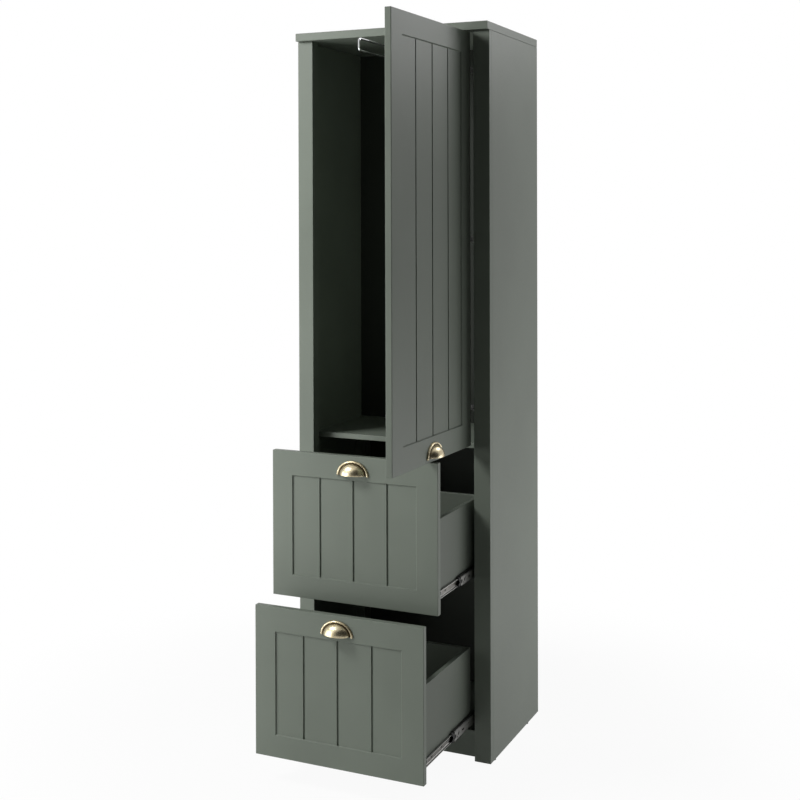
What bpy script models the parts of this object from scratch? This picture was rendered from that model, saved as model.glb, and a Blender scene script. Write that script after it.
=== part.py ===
"""A tall narrow wardrobe: one framed door over two framed drawers.

Lengths are in metres, +Z is up and +X runs to the right of someone facing the front. The origin is at the
middle of the bounding box's underside. Every piece is modelled with the door and the drawers shut, and an
empty on each joint carries its pieces to the half-open pose of the model.
"""

import math
from collections import namedtuple

import bmesh
import bpy
from mathutils import Vector

# Overall size
WIDTH = 0.583
HEIGHT = 2.000
BODY_DEPTH = 0.404
TOP_THICKNESS = 0.022
TOP_OVERHANG = 0.015
SEAT_GAP = 0.0003
CUT_OVERRUN = 0.005
WELD_DISTANCE = 0.00001

# Cabinet boards
SIDE_THICKNESS = 0.016
POST_WIDTH = 0.0465
POST_DEPTH = 0.034
POST_LIP = 0.0175
SHELF_THICKNESS = 0.0146
SHELF_SETBACK = 0.020
SHELF_BELOW_DOOR = 0.0012
PLINTH_TOP = 0.076
PLINTH_THICKNESS = 0.016
PLINTH_SETBACK = 0.028
BOTTOM_THICKNESS = 0.016
BACK_THICKNESS = 0.004
BACK_INSET = 0.028
BACK_GROOVE_DEPTH = 0.006
BACK_BELOW_BOTTOM = 0.030
REAR_BATTEN_DEPTH = 0.042
HINGE_BATTEN_DEPTH = 0.056
EDGE_RADIUS = 0.001
EDGE_STEPS = 2

# Glides under the side panels
GLIDE_HEIGHT = 0.004
GLIDE_RADIUS = 0.0075
GLIDE_CHAMFER = 0.001
GLIDE_FRONT_INSET = 0.041
GLIDE_REAR_INSET = 0.092

# Framed fronts: door and drawers
FRONT_THICKNESS = 0.0173
FRONT_SIDE_GAP = 0.00485
FRONT_EDGE_RADIUS = 0.0014
STILE_WIDTH = 0.0595
HANDLE_RAIL = 0.0635
PLAIN_RAIL = 0.058
FIELD_DEPTH = 0.0034
FIELD_SLOPE = 0.0022
GROOVE_WIDTH = 0.0062
GROOVE_SLOPE = 0.0008
GROOVE_DEPTH = 0.0034
GROOVE_SPACING = 0.0975
GROOVE_COUNT = 3
LOWER_FRONT_OVERLAP = 0.0049
LOWER_FRONT_HEIGHT = 0.3923
UPPER_FRONT_HEIGHT = 0.3881
DRAWER_FRONT_GAP = 0.002
DOOR_BOTTOM_GAP = 0.0035
DOOR_TOP_GAP = 0.003

# Drawer boxes
DRAWER_REAR_SPACE = 0.0344
DRAWER_SIDE_THICKNESS = 0.0125
DRAWER_BOX_LIFT = 0.037
DRAWER_BOX_HEIGHT = 0.203
DRAWER_BOTTOM_THICKNESS = 0.003
DRAWER_BOTTOM_LIFT = 0.008
DRAWER_GROOVE_DEPTH = 0.006
UPPER_PULL = 0.2408
LOWER_PULL = 0.3342

# Telescopic slides
SLIDE_THICKNESS = 0.0127
SLIDE_HEIGHT = 0.0326
SLIDE_REAR_GAP = 0.0025
SLIDE_DRAWER_INSET = 0.0021
SLIDE_MIDDLE_INSET = 0.012
SLIDE_SHEET = 0.0012
SLIDE_ABOVE_BOX = 0.0121
SLIDE_SETBACK = 0.0195
SLIDE_CABINET_FLANGE = 0.0095
SLIDE_MIDDLE_FLANGE = 0.0085
SLIDE_DRAWER_FLANGE = 0.0070
SLIDE_WEB_SPACE = 0.0015
SLIDE_BEND_RADIUS = 0.0015
SLIDE_BEND_STEPS = 3
STOP_HOLE_BACK = 0.025
STOP_HOLE_LENGTH = 0.014
STOP_HOLE_HEIGHT = 0.009
RETAINER_WEB = 0.0009
RETAINER_WALL = 0.0032
RETAINER_LENGTH = 0.060
RETAINER_FLANGE = 0.0065
RETAINER_WINDOW = 0.006
RETAINER_WINDOWS = 4
RETAINER_NOTCH_DEPTH = 0.007
RETAINER_NOTCH_HEIGHT = 0.011

# Cup handles
HANDLE_WIDTH = 0.092
HANDLE_HEIGHT = 0.037
HANDLE_PROJECTION = 0.024
HANDLE_DOME_INSET = 0.00875
HANDLE_WALL = 0.0012
HANDLE_FLANGE = 0.0015
HANDLE_BEAD_RADIUS = 0.003
HANDLE_BEAD_INSET = 0.0034
HANDLE_TIP_RADIUS = 0.0038
HANDLE_TIP_LIFT = 0.0004
HANDLE_TIP_STEPS = 12
HANDLE_BELOW_TOP = 0.0485
HANDLE_CUT_ABOVE_CENTRE = 0.0006
HANDLE_STEPS = 36
DOME_STEPS = 8
BEAD_STEPS = 5
TIP_STEPS = 4
DOOR_HANDLE_LIFT = 0.0125

# Door hinges, each a cup in the door, a cranked link and an arm on the batten
DOOR_OPEN_ANGLE = math.radians(88.4)
DOOR_FULL_ANGLE = math.radians(100)
DOOR_TURN_INSET = 0.0071
DOOR_TURN_DEPTH = 0.0006
HINGE_END_INSET = 0.100
CUP_RADIUS = 0.0172
CUP_BORE_RADIUS = 0.0175
CUP_WALL = 0.0011
CUP_FLOOR = 0.0011
CUP_DEPTH = 0.0115
CUP_INSET = 0.0225
CUP_STEPS = 40
CUP_FLANGE_WIDTH = 0.024
CUP_FLANGE_HEIGHT = 0.062
CUP_FLANGE_THICKNESS = 0.0011
CUP_FLANGE_OFFSET = 0.0006
CUP_PIN_INSET = 0.0096
CUP_PIN_DEPTH = 0.0032
CUP_PIN_EMBEDDED = 0.001
PIN_RADIUS = 0.0009
PIN_STEPS = 12
ARM_PIN_REACH = 0.0408
KNUCKLE_RADIUS = 0.0019
LINK_SHEET = 0.0024
LINK_WIDTH = 0.011
LINK_ELBOW_ALONG = 0.0237
LINK_ELBOW_ACROSS = 0.0073
LINK_WRIST_ALONG = 0.0300
LINK_WRIST_ACROSS = 0.0059
ARM_WALL = 0.0013
ARM_HEIGHT = 0.009
ARM_BEND_BEHIND = 0.044
ARM_LENGTH = 0.041
ARM_FRONT_BEHIND = 0.0365
PLATE_THICKNESS = 0.0015
PLATE_WIDTH = 0.036
PLATE_FRONT_BEHIND = 0.0375
PLATE_LENGTH = 0.048

# Pull-out clothes rail
RAIL_ROD_RADIUS = 0.0027
RAIL_BELOW_TOP = 0.031
RAIL_DROP = 0.0315
RAIL_REAR_SPACE = 0.036
RAIL_SETBACK = 0.026
RAIL_STOP_GAP = 0.0027
RAIL_BEND_RADIUS = 0.008
RAIL_BEND_STEPS = 5
RAIL_ROD_RESOLUTION = 3
CARRIER_WIDTH = 0.028
CARRIER_WALL = 0.0015
CARRIER_SETBACK = 0.0345
CARRIER_REAR_SPACE = 0.0235
CARRIER_ROD_GAP = 0.0025
GUIDE_LENGTH = 0.018
GUIDE_WALL = 0.003
SLIDER_LENGTH = 0.019
SLIDER_DEPTH = 0.0085
ROD_STEPS = 20

# Surface looks: colour, roughness, metallic
PAINT_LOOK = ((0.25, 0.275, 0.24), 0.55, 0.0)
DRAWER_LOOK = ((0.16, 0.165, 0.15), 0.6, 0.0)
BACK_LOOK = ((0.20, 0.215, 0.19), 0.7, 0.0)
ZINC_LOOK = ((0.55, 0.55, 0.53), 0.35, 1.0)
CHROME_LOOK = ((0.70, 0.70, 0.70), 0.15, 1.0)
BRASS_LOOK = ((0.12, 0.085, 0.045), 0.45, 1.0)
PLASTIC_LOOK = ((0.015, 0.015, 0.015), 0.5, 0.0)

# Places worked out from the sizes above
OPENING = WIDTH / 2 - POST_WIDTH
INSIDE = WIDTH / 2 - SIDE_THICKNESS
FRONT_WIDTH = 2 * (OPENING - FRONT_SIDE_GAP)
DOOR_LEAF = FRONT_WIDTH / 2 - DOOR_TURN_INSET
DOOR_REACH = (
    (FRONT_WIDTH - DOOR_TURN_INSET) * math.sin(DOOR_OPEN_ANGLE)
    + DOOR_TURN_DEPTH * math.cos(DOOR_OPEN_ANGLE)
    - DOOR_TURN_DEPTH
)
FRONT_Y = (DOOR_REACH - BODY_DEPTH) / 2
REAR_Y = FRONT_Y + BODY_DEPTH
BACK_Y = REAR_Y - BACK_INSET - BACK_THICKNESS
INNER_DEPTH = BACK_Y - FRONT_Y
UNDER_TOP = HEIGHT - TOP_THICKNESS
BACK_BOTTOM = PLINTH_TOP - BOTTOM_THICKNESS - BACK_BELOW_BOTTOM
LOWER_FRONT_BOTTOM = PLINTH_TOP - LOWER_FRONT_OVERLAP
LOWER_FRONT_TOP = LOWER_FRONT_BOTTOM + LOWER_FRONT_HEIGHT
UPPER_FRONT_BOTTOM = LOWER_FRONT_TOP + DRAWER_FRONT_GAP
UPPER_FRONT_TOP = UPPER_FRONT_BOTTOM + UPPER_FRONT_HEIGHT
DOOR_BOTTOM = UPPER_FRONT_TOP + DOOR_BOTTOM_GAP
DOOR_TOP = UNDER_TOP - DOOR_TOP_GAP
SHELF_TOP = DOOR_BOTTOM - SHELF_BELOW_DOOR
BOX_SIDE = OPENING - SLIDE_THICKNESS - 2 * SEAT_GAP
DRAWER_DEPTH = INNER_DEPTH - FRONT_THICKNESS - SEAT_GAP - DRAWER_REAR_SPACE
SLIDE_LENGTH = INNER_DEPTH - SLIDE_SETBACK - SLIDE_REAR_GAP
SLIDE_DRAWER_LENGTH = FRONT_THICKNESS + SEAT_GAP + DRAWER_DEPTH - SLIDE_SETBACK - SLIDE_DRAWER_INSET
RAIL_HEIGHT = UNDER_TOP - RAIL_BELOW_TOP
RAIL_FRONT = FRONT_Y + RAIL_SETBACK
RAIL_REAR = BACK_Y - RAIL_REAR_SPACE
SLIDER_REAR = RAIL_REAR - RAIL_BEND_RADIUS - RAIL_ROD_RADIUS
GUIDE_FRONT = FRONT_Y + CARRIER_SETBACK
RAIL_TRAVEL = SLIDER_REAR - SLIDER_LENGTH - GUIDE_FRONT - GUIDE_LENGTH - RAIL_STOP_GAP
RAIL_PULL = RAIL_TRAVEL * DOOR_OPEN_ANGLE / DOOR_FULL_ANGLE

Carrier = namedtuple("Carrier", "empty shut_place")
CARCASS = Carrier(None, Vector((0, 0, 0)))


def clear_scene():
    for thing in list(bpy.data.objects):
        bpy.data.objects.remove(thing, do_unlink=True)
    groups = []
    for name in ("wardrobe", "wardrobe_cutters"):
        group = bpy.data.collections.new(name)
        bpy.context.scene.collection.children.link(group)
        groups.append(group)
    return groups


PARTS, CUTTERS = clear_scene()


def moving_body(name, shut_place, slid=(0, 0, 0), turned=0.0):
    """An empty on a joint: its pieces are placed with the joint shut, and it takes them to their pose."""
    empty = bpy.data.objects.new(name, None)
    PARTS.objects.link(empty)
    empty.location = Vector(shut_place) + Vector(slid)
    empty.rotation_euler.z = turned
    return Carrier(empty, Vector(shut_place))


def surface(name, look):
    colour, roughness, metallic = look
    material = bpy.data.materials.new(name + "_finish")
    material.use_nodes = True
    shader = material.node_tree.nodes["Principled BSDF"]
    shader.inputs["Base Color"].default_value = (*colour, 1.0)
    shader.inputs["Roughness"].default_value = roughness
    shader.inputs["Metallic"].default_value = metallic
    material.diffuse_color = (*colour, 1.0)
    return material


def add_piece(name, mesh, carrier, place, look):
    """A piece with a look joins the wardrobe; one without is a cutter or a shape to be joined."""
    piece = bpy.data.objects.new(name, mesh)
    piece.parent = carrier.empty
    piece.location = Vector(place) - carrier.shut_place
    if look is None:
        CUTTERS.objects.link(piece)
        piece.hide_render = True
        piece.display_type = "WIRE"
    else:
        PARTS.objects.link(piece)
        mesh.materials.append(surface(name, look))
    return piece


def combine(piece, other, operation):
    modifier = piece.modifiers.new(operation.lower() + " " + other.name, "BOOLEAN")
    modifier.operation = operation
    modifier.solver = "EXACT"
    modifier.object = other
    return piece


def ease(piece, radius, steps=EDGE_STEPS):
    modifier = piece.modifiers.new("eased edges", "BEVEL")
    modifier.width = radius
    modifier.segments = steps
    modifier.limit_method = "ANGLE"
    return piece


def cube_mesh(name, size):
    mesh = bpy.data.meshes.new(name)
    shape = bmesh.new()
    bmesh.ops.create_cube(shape, size=1)
    bmesh.ops.scale(shape, vec=size, verts=shape.verts)
    shape.to_mesh(mesh)
    shape.free()
    return mesh


def board(name, carrier, x, y, z, look, radius=0.0):
    """A box between two values along each axis, in either order, with eased edges where it has a radius."""
    low = Vector((min(x), min(y), min(z)))
    high = Vector((max(x), max(y), max(z)))
    piece = add_piece(name, cube_mesh(name, high - low), carrier, (low + high) / 2, look)
    return ease(piece, radius) if radius else piece


def recess_cutter(name, carrier, x, y, z, slope):
    """A box with a smaller far face, at the larger y, so that the recess it cuts has leaning walls."""
    cutter = board(name, carrier, x, y, z, None)
    half = [(max(axis) - min(axis)) / 2 for axis in (x, z)]
    for vertex in cutter.data.vertices:
        if vertex.co.y > 0:
            vertex.co.x *= (half[0] - slope) / half[0]
            vertex.co.z *= (half[1] - slope) / half[1]
    return cutter


def round_bar(name, carrier, centre, radius, length, axis, look, steps=ROD_STEPS):
    mesh = bpy.data.meshes.new(name)
    shape = bmesh.new()
    bmesh.ops.create_cone(
        shape, cap_ends=True, segments=steps, radius1=radius, radius2=radius, depth=length
    )
    shape.to_mesh(mesh)
    shape.free()
    piece = add_piece(name, mesh, carrier, centre, look)
    piece.rotation_euler = Vector((0, 0, 1)).rotation_difference(Vector(axis)).to_euler()
    return piece


def turned_piece(name, carrier, profile, centre, look, steps, height_share=1.0):
    """A profile of (radius, height) points turned about an axis that points out of the front, along -Y."""
    mesh = bpy.data.meshes.new(name)
    edges = [(i, i + 1) for i in range(len(profile) - 1)]
    start = math.pi / steps
    points = [(radius * math.cos(start), radius * math.sin(start), height) for radius, height in profile]
    mesh.from_pydata(points, edges, [])
    piece = add_piece(name, mesh, carrier, centre, look)
    piece.rotation_euler.x = math.pi / 2
    piece.scale.y = height_share
    modifier = piece.modifiers.new("turned", "SCREW")
    modifier.steps = steps
    modifier.render_steps = steps
    modifier.use_merge_vertices = True
    modifier.merge_threshold = WELD_DISTANCE
    return piece


def rounded(corners, radius, steps, closed=False):
    """The corners of a path in a plane, each replaced by an arc of this radius."""
    corners = [Vector(corner) for corner in corners]
    points = []
    for index, corner in enumerate(corners):
        if not closed and index in (0, len(corners) - 1):
            points.append(corner)
            continue
        back = (corners[index - 1] - corner).normalized()
        ahead = (corners[(index + 1) % len(corners)] - corner).normalized()
        half_angle = back.angle(ahead) / 2
        centre = corner + (back + ahead).normalized() * radius / math.sin(half_angle)
        start = (corner + back * radius / math.tan(half_angle) - centre).normalized()
        end = (corner + ahead * radius / math.tan(half_angle) - centre).normalized()
        for step in range(steps + 1):
            points.append(centre + radius * start.slerp(end, step / steps))
    return points


def folded_sheet(name, carrier, path, run, thickness, look):
    """A sheet of even thickness whose section follows the path, drawn out along the run."""
    start = Vector(path[0])
    mesh = bpy.data.meshes.new(name)
    shape = bmesh.new()
    corners = [shape.verts.new(Vector(point) - start) for point in path]
    edges = [shape.edges.new(pair) for pair in zip(corners[:-1], corners[1:])]
    drawn = bmesh.ops.extrude_edge_only(shape, edges=edges)["geom"]
    moved = [item for item in drawn if isinstance(item, bmesh.types.BMVert)]
    bmesh.ops.translate(shape, vec=run, verts=moved)
    shape.to_mesh(mesh)
    shape.free()
    piece = add_piece(name, mesh, carrier, start, look)
    modifier = piece.modifiers.new("sheet", "SOLIDIFY")
    modifier.thickness = thickness
    modifier.offset = 0
    modifier.use_even_offset = True
    return piece


def mesh_from_curve(name, curve, carrier, place, look):
    """The curve's solid as a mesh with its caps welded on."""
    drawn = bpy.data.objects.new(name + "_curve", curve)
    PARTS.objects.link(drawn)
    bpy.context.view_layer.update()
    mesh = bpy.data.meshes.new_from_object(drawn.evaluated_get(bpy.context.evaluated_depsgraph_get()))
    bpy.data.objects.remove(drawn)
    shape = bmesh.new()
    shape.from_mesh(mesh)
    bmesh.ops.remove_doubles(shape, verts=shape.verts, dist=WELD_DISTANCE)
    shape.to_mesh(mesh)
    shape.free()
    mesh.name = name
    mesh.materials.clear()
    return add_piece(name, mesh, carrier, place, look)


def flat_piece(name, carrier, outline, low, high, look):
    """A closed outline seen from above, between two heights."""
    curve = bpy.data.curves.new(name, "CURVE")
    curve.dimensions = "2D"
    curve.fill_mode = "BOTH"
    curve.extrude = (high - low) / 2
    spline = curve.splines.new("POLY")
    spline.points.add(len(outline) - 1)
    start = Vector(outline[0])
    for point, corner in zip(spline.points, outline):
        point.co = (corner[0] - start.x, corner[1] - start.y, 0, 1)
    spline.use_cyclic_u = True
    place = (start.x, start.y, (low + high) / 2)
    return mesh_from_curve(name, curve, carrier, place, look)


def bent_rod(name, carrier, path, radius, look):
    """A round rod along a closed path."""
    curve = bpy.data.curves.new(name, "CURVE")
    curve.dimensions = "3D"
    curve.bevel_depth = radius
    curve.bevel_resolution = RAIL_ROD_RESOLUTION
    spline = curve.splines.new("POLY")
    spline.points.add(len(path) - 1)
    start = Vector(path[0])
    for point, corner in zip(spline.points, path):
        point.co = (*(Vector(corner) - start), 1)
    spline.use_cyclic_u = True
    return mesh_from_curve(name, curve, carrier, start, look)


# Cabinet


def make_top_board():
    board(
        "top_board",
        CARCASS,
        (-WIDTH / 2, WIDTH / 2),
        (FRONT_Y - TOP_OVERHANG, REAR_Y),
        (UNDER_TOP, HEIGHT),
        PAINT_LOOK,
        EDGE_RADIUS,
    )


def make_side(word, side):
    panel = board(
        f"{word}_side_panel",
        CARCASS,
        (side * INSIDE, side * WIDTH / 2),
        (FRONT_Y + POST_LIP + SEAT_GAP, REAR_Y),
        (GLIDE_HEIGHT, UNDER_TOP - SEAT_GAP),
        PAINT_LOOK,
        EDGE_RADIUS,
    )
    groove = board(
        f"{word}_back_groove",
        CARCASS,
        (side * (INSIDE - CUT_OVERRUN), side * (INSIDE + BACK_GROOVE_DEPTH)),
        (BACK_Y - SEAT_GAP, BACK_Y + BACK_THICKNESS + SEAT_GAP),
        (GLIDE_HEIGHT - CUT_OVERRUN, HEIGHT),
        None,
    )
    combine(panel, groove, "DIFFERENCE")
    post = board(
        f"{word}_front_post",
        CARCASS,
        (side * OPENING, side * WIDTH / 2),
        (FRONT_Y, FRONT_Y + POST_DEPTH),
        (GLIDE_HEIGHT, UNDER_TOP - SEAT_GAP),
        PAINT_LOOK,
        EDGE_RADIUS,
    )
    rebate = board(
        f"{word}_post_rebate",
        CARCASS,
        (side * (INSIDE - SEAT_GAP), side * (WIDTH / 2 + CUT_OVERRUN)),
        (FRONT_Y + POST_LIP, FRONT_Y + POST_DEPTH + CUT_OVERRUN),
        (GLIDE_HEIGHT - CUT_OVERRUN, HEIGHT),
        None,
    )
    combine(post, rebate, "DIFFERENCE")
    board(
        f"{word}_rear_batten",
        CARCASS,
        (side * OPENING, side * (INSIDE - SEAT_GAP)),
        (BACK_Y - SEAT_GAP - REAR_BATTEN_DEPTH, BACK_Y - SEAT_GAP),
        (PLINTH_TOP + SEAT_GAP, SHELF_TOP - SHELF_THICKNESS - SEAT_GAP),
        PAINT_LOOK,
        EDGE_RADIUS,
    )
    for place, place_y in (("front", FRONT_Y + GLIDE_FRONT_INSET), ("rear", REAR_Y - GLIDE_REAR_INSET)):
        glide = round_bar(
            f"{word}_{place}_glide",
            CARCASS,
            (side * (WIDTH - SIDE_THICKNESS) / 2, place_y, (GLIDE_HEIGHT - SEAT_GAP) / 2),
            GLIDE_RADIUS,
            GLIDE_HEIGHT - SEAT_GAP,
            (0, 0, 1),
            PLASTIC_LOOK,
        )
        ease(glide, GLIDE_CHAMFER, 1)


def make_inner_boards():
    board(
        "back_panel",
        CARCASS,
        (-INSIDE - BACK_GROOVE_DEPTH + SEAT_GAP, INSIDE + BACK_GROOVE_DEPTH - SEAT_GAP),
        (BACK_Y, BACK_Y + BACK_THICKNESS),
        (BACK_BOTTOM, UNDER_TOP - SEAT_GAP),
        BACK_LOOK,
    )
    board(
        "compartment_shelf",
        CARCASS,
        (-INSIDE + SEAT_GAP, INSIDE - SEAT_GAP),
        (FRONT_Y + POST_DEPTH + SHELF_SETBACK, BACK_Y - SEAT_GAP),
        (SHELF_TOP - SHELF_THICKNESS, SHELF_TOP),
        PAINT_LOOK,
        EDGE_RADIUS,
    )
    board(
        "plinth_board",
        CARCASS,
        (-OPENING + SEAT_GAP, OPENING - SEAT_GAP),
        (FRONT_Y + PLINTH_SETBACK, FRONT_Y + PLINTH_SETBACK + PLINTH_THICKNESS),
        (GLIDE_HEIGHT, PLINTH_TOP),
        PAINT_LOOK,
        EDGE_RADIUS,
    )
    board(
        "bottom_board",
        CARCASS,
        (-INSIDE + SEAT_GAP, INSIDE - SEAT_GAP),
        (FRONT_Y + PLINTH_SETBACK + PLINTH_THICKNESS + SEAT_GAP, BACK_Y - SEAT_GAP),
        (PLINTH_TOP - BOTTOM_THICKNESS, PLINTH_TOP),
        PAINT_LOOK,
        EDGE_RADIUS,
    )
    board(
        "hinge_batten",
        CARCASS,
        (OPENING, INSIDE - SEAT_GAP),
        (FRONT_Y + POST_DEPTH + SEAT_GAP, FRONT_Y + POST_DEPTH + SEAT_GAP + HINGE_BATTEN_DEPTH),
        (SHELF_TOP + SEAT_GAP, UNDER_TOP - SEAT_GAP),
        PAINT_LOOK,
        EDGE_RADIUS,
    )


# Fronts and their handles


def framed_front(name, carrier, bottom, top, low_rail, high_rail):
    """A slab with a raised frame: a sunk field with vertical grooves that divide it into planks."""
    slab = board(
        name,
        carrier,
        (-FRONT_WIDTH / 2, FRONT_WIDTH / 2),
        (FRONT_Y, FRONT_Y + FRONT_THICKNESS),
        (bottom, top),
        PAINT_LOOK,
        FRONT_EDGE_RADIUS,
    )
    lean = FIELD_SLOPE / FIELD_DEPTH * (FIELD_DEPTH + CUT_OVERRUN)
    side = FRONT_WIDTH / 2 - STILE_WIDTH - FIELD_SLOPE + lean
    field_bottom = bottom + low_rail
    field_top = top - high_rail
    field = recess_cutter(
        f"{name}_field",
        carrier,
        (-side, side),
        (FRONT_Y - CUT_OVERRUN, FRONT_Y + FIELD_DEPTH),
        (field_bottom + FIELD_SLOPE - lean, field_top - FIELD_SLOPE + lean),
        lean,
    )
    combine(slab, field, "DIFFERENCE")
    for index in range(GROOVE_COUNT):
        middle = (index - (GROOVE_COUNT - 1) / 2) * GROOVE_SPACING
        groove = recess_cutter(
            f"{name}_groove_{index + 1}",
            carrier,
            (middle - GROOVE_WIDTH / 2, middle + GROOVE_WIDTH / 2),
            (FRONT_Y + FIELD_DEPTH / 2, FRONT_Y + FIELD_DEPTH + GROOVE_DEPTH),
            (field_bottom + FIELD_SLOPE / 2, field_top - FIELD_SLOPE / 2),
            GROOVE_SLOPE,
        )
        combine(slab, groove, "DIFFERENCE")
    return slab


def handle_profile():
    """Half the section of the cup, from the dome's crown down its outside, over the bead and back inside."""
    radius = HANDLE_WIDTH / 2 - HANDLE_DOME_INSET
    points = []
    last_angle = math.acos(HANDLE_FLANGE / HANDLE_PROJECTION)
    for step in range(DOME_STEPS + 1):
        angle = last_angle * step / DOME_STEPS
        points.append((radius * math.sin(angle), HANDLE_PROJECTION * math.cos(angle)))
    bead = HANDLE_WIDTH / 2 - HANDLE_BEAD_INSET
    for step in range(BEAD_STEPS + 1):
        angle = math.pi * (1 - step / BEAD_STEPS)
        height = HANDLE_FLANGE + HANDLE_BEAD_RADIUS * math.sin(angle)
        points.append((bead + HANDLE_BEAD_RADIUS * math.cos(angle), height))
    points.append((HANDLE_WIDTH / 2, HANDLE_FLANGE))
    points.append((HANDLE_WIDTH / 2, 0))
    for step in range(DOME_STEPS + 1):
        angle = math.pi / 2 * (1 - step / DOME_STEPS)
        inner = radius - HANDLE_WALL
        points.append((inner * math.sin(angle), (HANDLE_PROJECTION - HANDLE_WALL) * math.cos(angle)))
    points[0] = (0, points[0][1])
    points[-1] = (0, points[-1][1])
    return points


def tip_profile():
    """Half the section of the round button that ends the bead."""
    height = HANDLE_FLANGE - HANDLE_TIP_LIFT
    points = [(0, 0), (HANDLE_TIP_RADIUS, 0)]
    for step in range(TIP_STEPS + 1):
        angle = math.pi / 2 * step / TIP_STEPS
        points.append((HANDLE_TIP_RADIUS * math.cos(angle), height + HANDLE_TIP_RADIUS * math.sin(angle)))
    points[-1] = (0, points[-1][1])
    return points


def cup_handle(name, carrier, bottom):
    """A half bowl, open below, with a raised bead round its flange that ends in two round tips."""
    height_share = HANDLE_HEIGHT / (HANDLE_WIDTH / 2)
    centre = (0, FRONT_Y - SEAT_GAP, bottom - HANDLE_CUT_ABOVE_CENTRE)
    handle = turned_piece(
        name, carrier, handle_profile(), centre, BRASS_LOOK, HANDLE_STEPS, height_share
    )
    below = board(
        f"{name}_below",
        carrier,
        (-HANDLE_WIDTH, HANDLE_WIDTH),
        (FRONT_Y - HANDLE_PROJECTION - CUT_OVERRUN, FRONT_Y + CUT_OVERRUN),
        (bottom - HANDLE_WIDTH, bottom),
        None,
    )
    combine(handle, below, "DIFFERENCE")
    for word, side in (("left", -1), ("right", 1)):
        tip = turned_piece(
            f"{name}_{word}_tip",
            carrier,
            tip_profile(),
            (side * (HANDLE_WIDTH / 2 - HANDLE_BEAD_INSET), FRONT_Y - SEAT_GAP - HANDLE_TIP_LIFT, bottom),
            None,
            HANDLE_TIP_STEPS,
        )
        combine(handle, tip, "UNION")
    return handle


# Drawers and their slides


def slide_section(side, centre_height, web, lip, half_height, inset=0.0):
    """The middle line of a slide member's section: a web, and flanges that run from it to the lip."""
    corners = ((lip, half_height, 0), (web, half_height, 0), (web, -half_height, 0), (lip, -half_height, 0))
    bent = rounded(corners, SLIDE_BEND_RADIUS, SLIDE_BEND_STEPS)
    start = FRONT_Y + SLIDE_SETBACK + inset
    return [Vector((side * (OPENING - point.x), start, centre_height + point.y)) for point in bent]


def make_slide(drawer, word, side, bottom, drawer_body, middle_body):
    """One telescopic slide: cabinet member, middle member, plastic retainer and drawer member."""
    centre = bottom + DRAWER_BOX_LIFT + SLIDE_ABOVE_BOX
    half = (SLIDE_HEIGHT - SLIDE_SHEET) / 2
    web = SEAT_GAP + SLIDE_SHEET / 2
    lip = SEAT_GAP + SLIDE_CABINET_FLANGE
    folded_sheet(
        f"{drawer}_{word}_slide_cabinet_member",
        CARCASS,
        slide_section(side, centre, web, lip, half),
        (0, SLIDE_LENGTH, 0),
        SLIDE_SHEET,
        ZINC_LOOK,
    )
    half -= SLIDE_SHEET + SEAT_GAP
    web += SLIDE_SHEET + SLIDE_WEB_SPACE
    lip = web - SLIDE_SHEET / 2 + SLIDE_MIDDLE_FLANGE
    middle = folded_sheet(
        f"{drawer}_{word}_slide_middle_member",
        middle_body,
        slide_section(side, centre, web, lip, half, SLIDE_MIDDLE_INSET),
        (0, SLIDE_LENGTH - SLIDE_MIDDLE_INSET, 0),
        SLIDE_SHEET,
        ZINC_LOOK,
    )
    front = FRONT_Y + SLIDE_SETBACK
    hole_front = front + SLIDE_MIDDLE_INSET + STOP_HOLE_BACK
    stop_hole = board(
        f"{drawer}_{word}_stop_hole",
        middle_body,
        (side * (OPENING - web + SLIDE_SHEET), side * (OPENING - web - SLIDE_SHEET)),
        (hole_front, hole_front + STOP_HOLE_LENGTH),
        (centre - STOP_HOLE_HEIGHT / 2, centre + STOP_HOLE_HEIGHT / 2),
        None,
    )
    combine(middle, stop_hole, "DIFFERENCE")
    make_retainer(drawer, word, side, centre, half - SLIDE_SHEET / 2, web + SLIDE_SHEET / 2, middle_body)
    half -= SLIDE_SHEET + RETAINER_WALL + 2 * SEAT_GAP
    web = SEAT_GAP + SLIDE_THICKNESS - SLIDE_SHEET / 2
    lip = SEAT_GAP + SLIDE_THICKNESS - SLIDE_DRAWER_FLANGE
    folded_sheet(
        f"{drawer}_{word}_slide_drawer_member",
        drawer_body,
        slide_section(side, centre, web, lip, half),
        (0, SLIDE_DRAWER_LENGTH, 0),
        SLIDE_SHEET,
        ZINC_LOOK,
    )


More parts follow.
